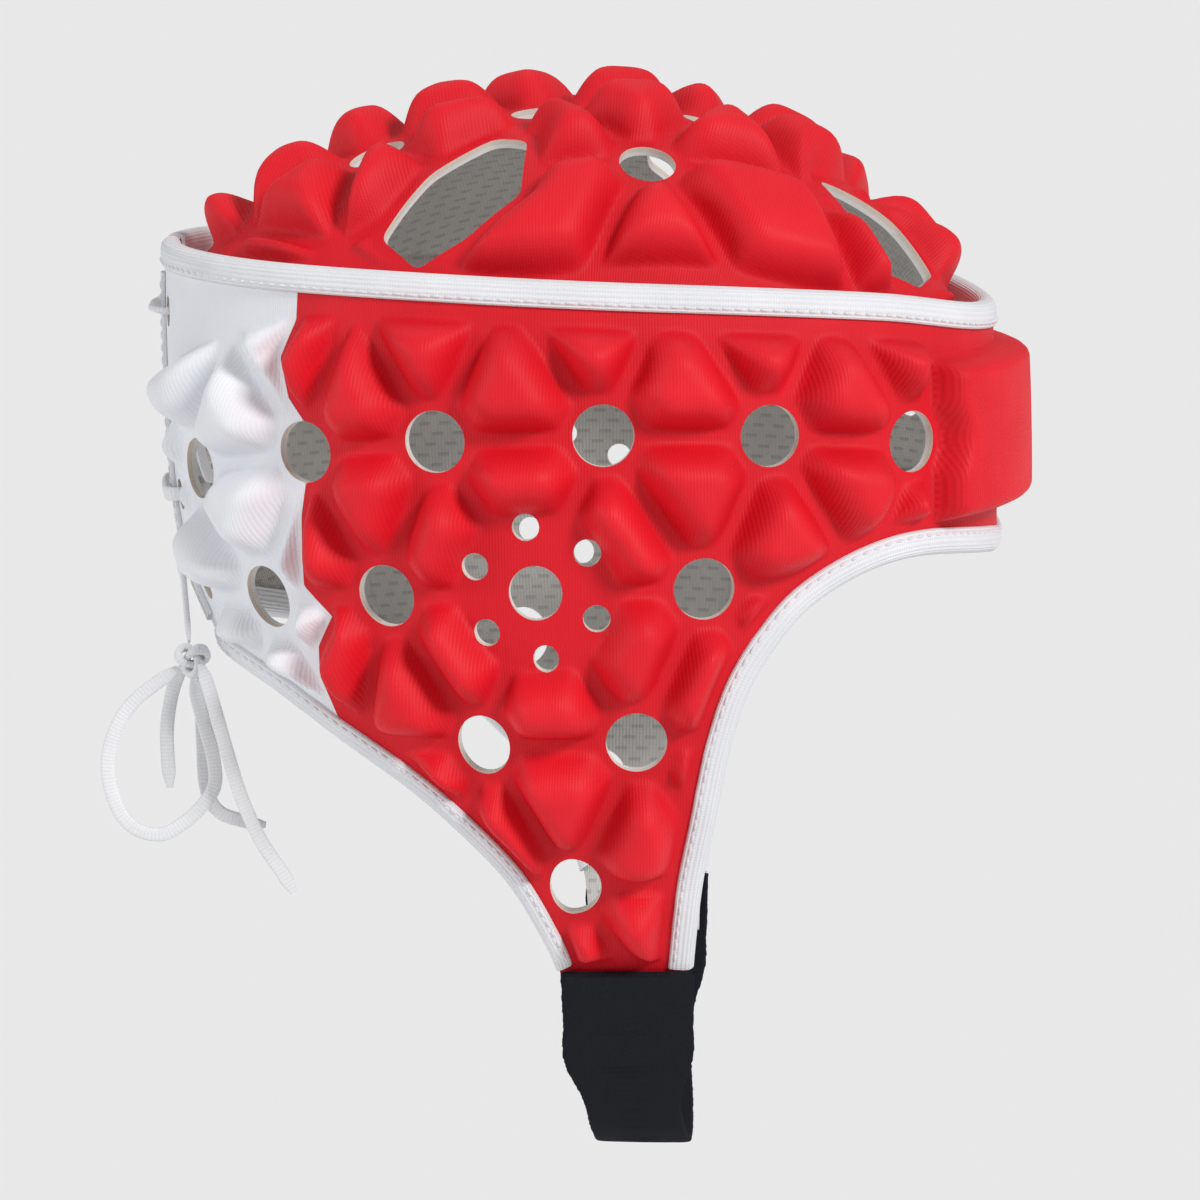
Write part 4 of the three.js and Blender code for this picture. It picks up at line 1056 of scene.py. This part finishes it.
# Bindings: a strip of white ribbed knit folded over each cut edge and sewn down along its leg with
# a row of stitches.
binding_knit = plain_knit(
    "binding_knit", 0.85, (0.66, 0.67, 0.71), (0.86, 0.86, 0.88),
    roughness=0.7, sheen=0.25, relief=(0.0003, 0.6), swapped=True)
stitch_thread = grained(
    "stitch_thread", "ShaderNodeTexNoise", 2600.0, (0.62, 0.63, 0.66), (0.86, 0.86, 0.88),
    roughness=0.55, depth=0.0001)
BINDING_LEG = 4.9
BINDING_LOW = -1.5
BINDING_HIGH = 3.3
BINDING_WALL = 0.9
binding_section = np.array([
    (BINDING_LEG, BINDING_HIGH - BINDING_WALL), (BINDING_LEG, BINDING_HIGH - 0.35),
    (BINDING_LEG - 0.4, BINDING_HIGH), (3.1, BINDING_HIGH + 0.15), (1.2, BINDING_HIGH + 0.2),
    (-0.2, BINDING_HIGH - 0.1), (-1.1, BINDING_HIGH - 0.9), (-1.55, BINDING_HIGH - 1.7),
    (-1.6, 0.9), (-1.55, 0), (-1.1, BINDING_LOW + 0.7), (-0.2, BINDING_LOW + 0.1),
    (1.2, BINDING_LOW - 0.1), (3.1, BINDING_LOW), (BINDING_LEG, BINDING_LOW + 0.1),
    (BINDING_LEG, BINDING_LOW + BINDING_WALL), (-0.1, BINDING_LOW + BINDING_WALL),
    (-0.1, BINDING_HIGH - BINDING_WALL),
])[::-1]
BINDING_STEP = 1.1
BINDING_GIRTH = 24
STITCH_PITCH = 3.1
STITCH_LENGTH = 2.1
STITCH_INSET = 3.6
STITCH_HALF_WIDTH = 0.42
STITCH_HALF_HEIGHT = 0.36
STITCH_RAISED = 0.12


def band_places(flat, out):
    """Places in metres, from the flat pattern and heights over the band."""
    return on_band(flat[..., 0], flat[..., 1], np.broadcast_to(out, flat.shape[:2])) / METRE


def binding(name, line):
    """Binding with the cloth to the left of the line, as seen along it from outside."""
    line = even(line, BINDING_STEP)
    inwards = leftwards(directions(line))
    flat = line[:, None] + binding_section[None, :, :1] * inwards[:, None]
    rings = band_places(flat, binding_section[None, :, 1])
    mesh = swept_mesh(name, rings, BINDING_STEP, BINDING_GIRTH)
    linked(f"{name}_knit", mesh, [binding_knit], name)
    stitches(f"{name}_stitches", line)


def stitches(name, line):
    """Row of short raised stitches near the binding's sewn edge."""
    line = even(line, STITCH_PITCH)[1:-1]
    along = directions(line)
    inwards = leftwards(along)
    middle = line + STITCH_INSET * inwards
    sides, loops = 8, 5
    shape = []
    for ring in range(loops):
        end_turn = math.pi * (ring + 0.5) / loops
        for side in range(sides):
            turn = 2 * math.pi * side / sides
            shape.append((
                -math.cos(end_turn) * STITCH_LENGTH / 2,
                STITCH_HALF_WIDTH * math.sin(end_turn) * math.cos(turn),
                STITCH_HALF_HEIGHT * math.sin(end_turn) * math.sin(turn),
            ))
    faces = [face[::-1] for face in tube_faces(loops, sides)]
    faces.append(tuple(range(sides)))
    faces.append(tuple((loops - 1) * sides + side for side in range(sides))[::-1])
    shape = np.array(shape)
    flat = (middle[:, None] + shape[None, :, :1] * along[:, None]
            + shape[None, :, 1:2] * inwards[:, None])
    points = band_places(flat, BINDING_HIGH + STITCH_RAISED + shape[None, :, 2])
    mesh = smooth_mesh(name, points.reshape(-1, 3), [
        tuple(corner + number * len(shape) for corner in face)
        for number in range(len(middle)) for face in faces
    ])
    linked(name, mesh, [stitch_thread])


STRAP_TOP = -(FLAP_DEPTH - 14)
above_strap = face_line[face_line[:, 1] > STRAP_TOP - 1]
nape_line = np.vstack([nape_white, nape_red[1:]])
nape_line = nape_line[nape_line[:, 1] > STRAP_TOP - 1]
TOP_LAP = 6
LACED_END_LEVEL = -120.5
laced_levels = laced_line[:, 1]
laced_end = laced_line[
    (laced_levels < laced_levels[0] - TOP_LAP) & (laced_levels > LACED_END_LEVEL)]
top_ends = laced_line[0, 0]
binding("top_binding", top_line(2 * FRONT_WAY - top_ends, top_ends))
binding("face_binding", np.vstack([above_strap, mirrored(above_strap)[1:]]))
binding("nape_binding_right", nape_line)
binding("nape_binding_left", mirrored(nape_line))
binding("laced_binding_right", laced_end)
binding("laced_binding_left", mirrored(laced_end))


# Laced back: the braid crosses the opening outside, goes in through an eyelet, and comes back
# inside to the next one up. It ends at the knot.
LACE_OUTER = 4.8
LACE_INNER = -3.6
LACE_MIDDLE = 0.9
LACE_PULL = 3
LACE_START = 4.3  # from the middle of the knot


def mirrored_place(place):
    return place * np.array((1, -1, 1))


def surface_place(x, y, out):
    return on_band(np.array([x]), np.array([y]), np.array([float(out)]))[0]


def crossing(start, end, out):
    level = (start[1] + end[1]) / 2
    middle = band_point(np.array([-QUARTER]), np.array([level]), -out)[0]
    return [
        surface_place(start[0] - LACE_PULL, start[1], out),
        surface_place(start[0] - EYELET_INSET, start[1], out),
        middle,
        mirrored_place(surface_place(end[0] - EYELET_INSET, end[1], out)),
        mirrored_place(surface_place(end[0] - LACE_PULL, end[1], out)),
    ]


lace_route = []
for number in reversed(range(EYELETS)):
    here = eyelet_places[number]
    outside = crossing(here, here, LACE_OUTER)
    through = surface_place(*here, LACE_MIDDLE)
    lace_route += outside[1:] if number == EYELETS - 1 else [through, *outside]
    lace_route.append(mirrored_place(through))
    if number > 0:
        inside = crossing(here, eyelet_places[number - 1], LACE_INNER)
        lace_route += [mirrored_place(place) for place in inside]
lace_start = knot_place * METRE + LACE_START * unit(np.array((-1, 1, 5)))
lace_route = np.vstack([lace_start, *lace_route]) / METRE
braid("lace_braid", lace_route, (-1, 0, 0.2), "lace")


# Chin strap: a wide black tape with a loop-pile face. It laps over the outside of one flap, is sewn
# there, runs under the chin and laps over the other flap.
STRAP_WIDTH = 34
STRAP_CHIN_WIDTH = 23
STRAP_THICK = 2.4
STRAP_DROP = 255
STRAP_CHIN_FORWARD = 14
STRAP_STIFFNESS = 18
STRAP_SAG = 24
STRAP_LOW = 3.6
STRAP_STEP = 0.75
STRAP_GIRTH = 72
SEWN_RINGS = 18
STRAP_TAPER = 30  # length over which it narrows
strap_middle = (face_line[0, 0] + nape_red[-1, 0]) / 2


def pile_material():
    material, tree = new_material("loop_pile")
    loops = node(tree, "ShaderNodeTexNoise", {"Scale": 1500.0, "Detail": 4.0, "Roughness": 0.75})
    worn = node(tree, "ShaderNodeTexNoise", {"Scale": 120.0, "Detail": 2.0})
    mixed = math_node(tree, "MULTIPLY", loops.outputs["Fac"], worn.outputs["Fac"])
    colour = two_tone(
        tree, math_node(tree, "MULTIPLY", mixed, 1.7), (0.003, 0.004, 0.007), (0.024, 0.027, 0.042))
    finish_material(tree, {
        "Base Color": colour, "Roughness": 0.95, "Sheen Weight": 0.04, "Specular IOR Level": 0.1,
        "Normal": bumped(tree, loops.outputs["Fac"], 0.0006, 1.0),
    })
    return material


def smooth_share(share):
    share = min(max(share, 0), 1)
    return share * share * (3 - 2 * share)


def strap_rings():
    section = rounded_section(STRAP_WIDTH, STRAP_THICK, corners=72, squareness=0.3)
    section[:, 1] += STRAP_THICK / 2
    rings = []
    for level in np.linspace(STRAP_TOP, -FLAP_DEPTH, SEWN_RINGS):
        rings.append(on_band(
            strap_middle + section[:, 0], np.full(len(section), level), STRAP_LOW + section[:, 1]))
    foot = surface_place(strap_middle, -FLAP_DEPTH, STRAP_LOW)
    above = surface_place(strap_middle, -FLAP_DEPTH + 1, STRAP_LOW)
    downwards = unit(foot - above)
    chin = np.array((STRAP_CHIN_FORWARD, 0, -STRAP_DROP + STRAP_THICK))
    control = [
        foot, foot + STRAP_STIFFNESS * downwards, chin + np.array((0, -STRAP_SAG, 0)), chin,
    ]
    share = np.linspace(0, 1, 120)[:, None]
    path = ((1 - share) ** 3 * control[0] + 3 * (1 - share) ** 2 * share * control[1]
            + 3 * (1 - share) * share ** 2 * control[2] + share ** 3 * control[3])
    path = even(path, STRAP_STEP)
    sewn = rings[-1] - foot
    for place, way, done in list(zip(path, directions(path), lengths_along(path)))[1:]:
        narrowed = smooth_share(done / STRAP_TAPER)
        width = 1 + (STRAP_CHIN_WIDTH / STRAP_WIDTH - 1) * narrowed
        outwards = unit(np.array((0, way[2], -way[1])))
        flat = section[:, :1] * np.array((width, 0, 0)) + section[:, 1:] * outwards
        free = smooth_share(done / STRAP_STIFFNESS)
        rings.append(place + (1 - free) * sewn + free * flat)
    far_side = [mirrored_place(ring) for ring in rings[:-1][::-1]]
    return np.array(rings + far_side)


def fuzzy(rings):
    """Rings with the tape's pile raised here and there."""
    depth = 0.3
    outwards = unit(rings - rings.mean(axis=1, keepdims=True))
    for place in np.ndindex(rings.shape[:2]):
        here = Vector(rings[place])
        raised = 0.6 * noise.noise(here * 0.9) + noise.noise(here * 2.7)
        rings[place] += outwards[place] * depth * raised
    return rings


strap_mesh = swept_mesh("chin_strap", fuzzy(strap_rings()) / METRE, STRAP_STEP, STRAP_GIRTH)
linked("chin_strap_tape", strap_mesh, [pile_material()], "chin_strap")


# Studio: a wide pale floor that rises gently far away, under soft light from the left, from the right
# and from above.
def floor_mesh():
    level = -1.05
    rise_starts = 25
    rise = 0.003
    sides = 64
    rings = 24
    vertices = [(0, 0, level)]
    for reach in np.geomspace(2, 60, rings):
        height = level + rise * max(0, reach - rise_starts) ** 2
        for turn in np.linspace(0, 2 * math.pi, sides, endpoint=False):
            vertices.append((reach * math.cos(turn), reach * math.sin(turn), height))
    faces = [(0, 1 + side, 1 + (side + 1) % sides) for side in range(sides)]
    faces += [tuple(1 + corner for corner in face[::-1]) for face in tube_faces(rings, sides)]
    return smooth_mesh("floor", vertices, faces)


def paper_material():
    material, tree = new_material("paper")
    grain = node(tree, "ShaderNodeTexNoise", {"Scale": 3.0})
    colour = two_tone(tree, grain.outputs["Fac"], (0.88, 0.88, 0.88), (0.90, 0.90, 0.90))
    finish_material(tree, {"Base Color": colour, "Roughness": 1.0, "Specular IOR Level": 0.0})
    return material


floor = bpy.data.objects.new("floor", floor_mesh())
floor.data.materials.append(paper_material())
scene.collection.objects.link(floor)


def soft_light(name, towards, spread, strength):
    data = bpy.data.lights.new(name, "SUN")
    data.angle = math.radians(spread)
    data.energy = strength
    light = bpy.data.objects.new(name, data)
    light.rotation_euler = Vector(towards).to_track_quat("Z", "Y").to_euler()
    scene.collection.objects.link(light)


soft_light("key", (0.8, -0.8, 0.75), 14, 2.2)
soft_light("side", (-1.0, -0.35, 0.3), 25, 0.9)
soft_light("top", (-0.1, 0.5, 1.0), 40, 0.4)
world = bpy.data.worlds.new("studio")
scene.world = world
world.use_nodes = True
world.node_tree.nodes["Background"].inputs["Color"].default_value = (1, 1, 1, 1)
world.node_tree.nodes["Background"].inputs["Strength"].default_value = 0.33

# Picture: a square preview in plain colours.
scene.render.engine = "CYCLES"
scene.cycles.samples = 48
scene.cycles.max_bounces = 5
scene.cycles.use_denoising = True
scene.render.resolution_x = 1024
scene.render.resolution_y = 1024
scene.view_settings.view_transform = "Standard"

# Bring the scene up to date.
bpy.context.view_layer.update()
